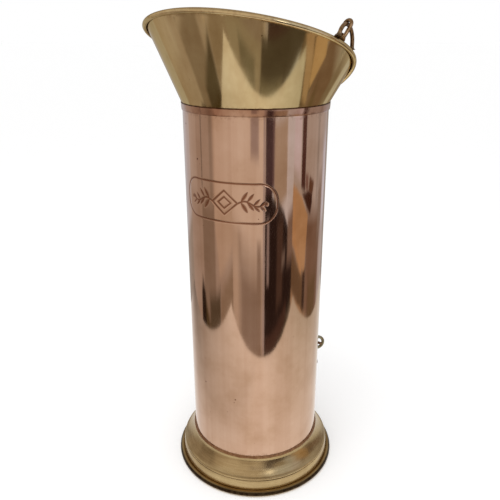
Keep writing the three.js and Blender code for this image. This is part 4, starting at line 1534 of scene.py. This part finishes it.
# %% Left and back walls
CARDS += [
    ("left", "#BDB2AC", 0, block(-1200, 1200, WALL_LOW, WALL_HIGH)),
    ("left", "#C8C0BC", 50, block(-1200, -190, 120, 400)),
    ("left", "#9A8D83", 30, block(-125, 140, -500, 170)),
    ("left", "#655C4E", 34, block(-20, 225, -420, -10)),
    ("left", "#D0C2B6", 24, [(195, -10), (1200, -10), (1200, 500), (120, 500), (120, 110)]),
    ("left", "#A39587", 30, block(205, 1200, -600, -20)),
    ("left", "#5A4E36", 26, [(-190, -60), (150, -280), (175, -165), (-170, 15)]),
    ("left", "#8C837E", 9, block(-112, -82, 178, 340)),
    ("left", "#E4DAD3", 50, block(120, 1200, 110, WALL_HIGH)),
    ("left", "#E2DDDA", 60, block(-1200, 1200, 400, WALL_HIGH)),
    ("left", "#ACA29B", 14, block(50, 112, 140, 340)),
    ("left", "#352B24", 24, [(-215, -135), (-80, -135), (-86, -20), (-150, 10), (-205, -30)]),
    ("back", "#B0AAA4", 0, block(-1200, 1200, WALL_LOW, WALL_HIGH)),
    ("back", "#8F847C", 60, block(-420, 60, -500, 170)),
    ("back", "#CFD1D9", 40, block(120, 600, 40, 520)),
]
print("cards on all walls:", len(CARDS))

# %% [markdown]
# Each card only glows, so its colour doesn't depend on the lamp. A blurred picture could give the
# soft borders. Here a number on its corners does: "inside" is 1 within the card and falls to 0
# over the border, where the card lets the one behind it through.

# %% How a card is made
NARROWEST_CORNER = 0.2


def card_material(name, code, brightness):
    """A plain glow that turns clear where the number inside falls to 0."""
    material = bpy.data.materials.new(name)
    material.use_nodes = True
    tree = material.node_tree
    tree.nodes.clear()
    glow = node(tree, "Emission", {"Color": linear(code), "Strength": brightness})
    inside = node(tree, "Attribute", {"attribute_name": "inside"}).outputs["Fac"]
    clear = node(tree, "BsdfTransparent")
    mixed = node(tree, "MixShader", _0=inside, _1=clear.outputs[0], _2=glow.outputs[0])
    node(tree, "OutputMaterial", Surface=mixed.outputs[0])
    material.cycles.emission_sampling = "NONE"
    return material


def inset(corners, border):
    """The corners of a convex outline moved inward by the width of its border."""
    moved = []
    for i, corner in enumerate(corners):
        here = Vector(corner)
        one = (Vector(corners[i - 1]) - here).normalized()
        two = (Vector(corners[(i + 1) % len(corners)]) - here).normalized()
        corner_sine = max(abs(one.x * two.y - one.y * two.x), NARROWEST_CORNER)
        moved.append(here + (one + two) * (border / corner_sine))
    return moved


def hang(name, corners, border, place, code, brightness=1.0, inside=None):
    """Makes one card; place turns its two numbers into a point in space."""
    outer = [Vector(c) for c in corners]
    inner = inset(corners, border) if border else []
    count = len(outer)
    points = [place(p) for p in outer + inner]
    faces = [tuple(range(count))]
    if border:
        faces = [tuple(range(count, 2 * count))]
        faces += [(k, (k + 1) % count, count + (k + 1) % count, count + k) for k in range(count)]
    card = studio_board(name, points, faces, card_material(name, code, brightness))
    mark(card, "inside", [0.0] * count + [1.0] * count if border else inside or [1.0] * count)
    card.visible_camera = False
    card.visible_diffuse = False
    card.visible_shadow = False
    card.visible_transmission = False
    return card


print("softest border: %d mm" % max(border for _, _, border, _ in CARDS))

# %% [markdown]
# The cards of a wall hang half a millimetre apart, so that none fights with its neighbour. Two
# more are special. A small warm card stands right at the table's edge, because only there does one
# card show at the right height in both the tube and the flare. A card three times as bright as
# white hangs high on the front wall and makes the brightest glints.

# %% Hang the cards
CARD_SPACING = 0.5 * MM
NEAR_CORNERS = [(-300, 134), (-277, 106), (-150, 74), (-120, 80), (-92, 177), (-249, 200), (-300, 206)]
BRIGHT_CARD = 3.2


def on_wall(wall, layer, beyond=WALL_BEYOND):
    """A function that puts a card's side and height on this wall, in front of earlier layers."""
    facing, edge = TABLE_EDGES[wall]
    out = polar(1, math.radians(facing), 0)
    sideways = Vector((-out.y, out.x, 0))
    base = out * ((edge + beyond) * MM - CARD_SPACING * layer)
    return lambda p: base + sideways * (p.x * MM) + Vector((0, 0, p.y * MM))


for layer, (wall, code, border, corners) in enumerate(CARDS):
    hang("card_%02d_%s" % (layer, wall), corners, border, on_wall(wall, layer), code)
hang("card_near_right", NEAR_CORNERS, 6, on_wall("right", 0, 0), "#D0B390")
hang("card_window", block(58, 152, 335, 500), 10, on_wall("front", len(CARDS)), "#F4F8FF", BRIGHT_CARD)

# %% [markdown]
# Flat cards close the room: a ceiling, the dark below, and the white table top with a greyer card
# on its left and on its right. Those two have no border of their own. Their corners carry the
# number "inside" one by one, so each fades evenly across the table.

# %% Table top, ceiling and the dark below
ROOM = 1200
front_out = polar(1, math.radians(TABLE_EDGES["front"][0]), 0)
front_along = Vector((-front_out.y, front_out.x, 0))
table_front, table_right, table_left, table_back = (edge for _, edge in TABLE_EDGES.values())
table_corners = block(-table_left, table_right, -table_back, table_front)
left_side = block(-table_left, -40, -table_back, table_front)
right_side = block(20, table_right, -table_back, table_front)
room_corners = block(-ROOM, ROOM, -ROOM, ROOM)
WHOLE = [1, 1, 1, 1]
LEVELS = [
    ("card_below", "#6F6C64", -700, 1.0, room_corners, WHOLE),
    ("card_ceiling", "#BEB7B0", 900, 1.0, room_corners, WHOLE),
    ("card_table", "#FFFDFB", 0.3, 1.06, table_corners, WHOLE),
    ("card_table_grey_side", "#86807C", 0.5, 1.0, left_side, [1, 0, 0, 0.1]),
    ("card_table_right_side", "#D8D8D0", 0.5, 1.0, right_side, [0, 1, 1, 0]),
]


def at_height(height):
    """A function that lays a card flat at this height, along the table's edges."""
    return lambda p: front_along * (p.x * MM) + front_out * (p.y * MM) + Vector((0, 0, height * MM))


for name, code, height, brightness, corners, inside in LEVELS:
    hang(name, corners, 0, at_height(height), code, brightness, inside)
print("flat cards:", len(LEVELS))

# %% [markdown]
# One soft lamp overhead gives the floor the gentle shadow at the foot. A sun would throw a hard
# one, and the white sky alone leaves the jug floating. The lamp stays out of reflections, since
# the cards already say what the metal shows.

# %% Lamp
LAMP_SIDE = 0.35
LAMP_POWER = 2.0
LAMP_PLACE = Vector((0.05, -0.25, 0.88))
LAMP_AIM = Vector((0, 0, 0.3))
lamp = bpy.data.objects.new("overhead_lamp", bpy.data.lights.new("overhead_lamp", "AREA"))
lamp.data.shape = "SQUARE"
lamp.data.size = LAMP_SIDE
lamp.data.energy = LAMP_POWER
lamp.location = LAMP_PLACE
lamp.rotation_euler = (LAMP_AIM - LAMP_PLACE).to_track_quat("-Z", "Y").to_euler()
bpy.context.scene.collection.objects.link(lamp)
lamp.visible_glossy = False
print("lamp: %.0f W, %.2f m up" % (LAMP_POWER, LAMP_PLACE.z))
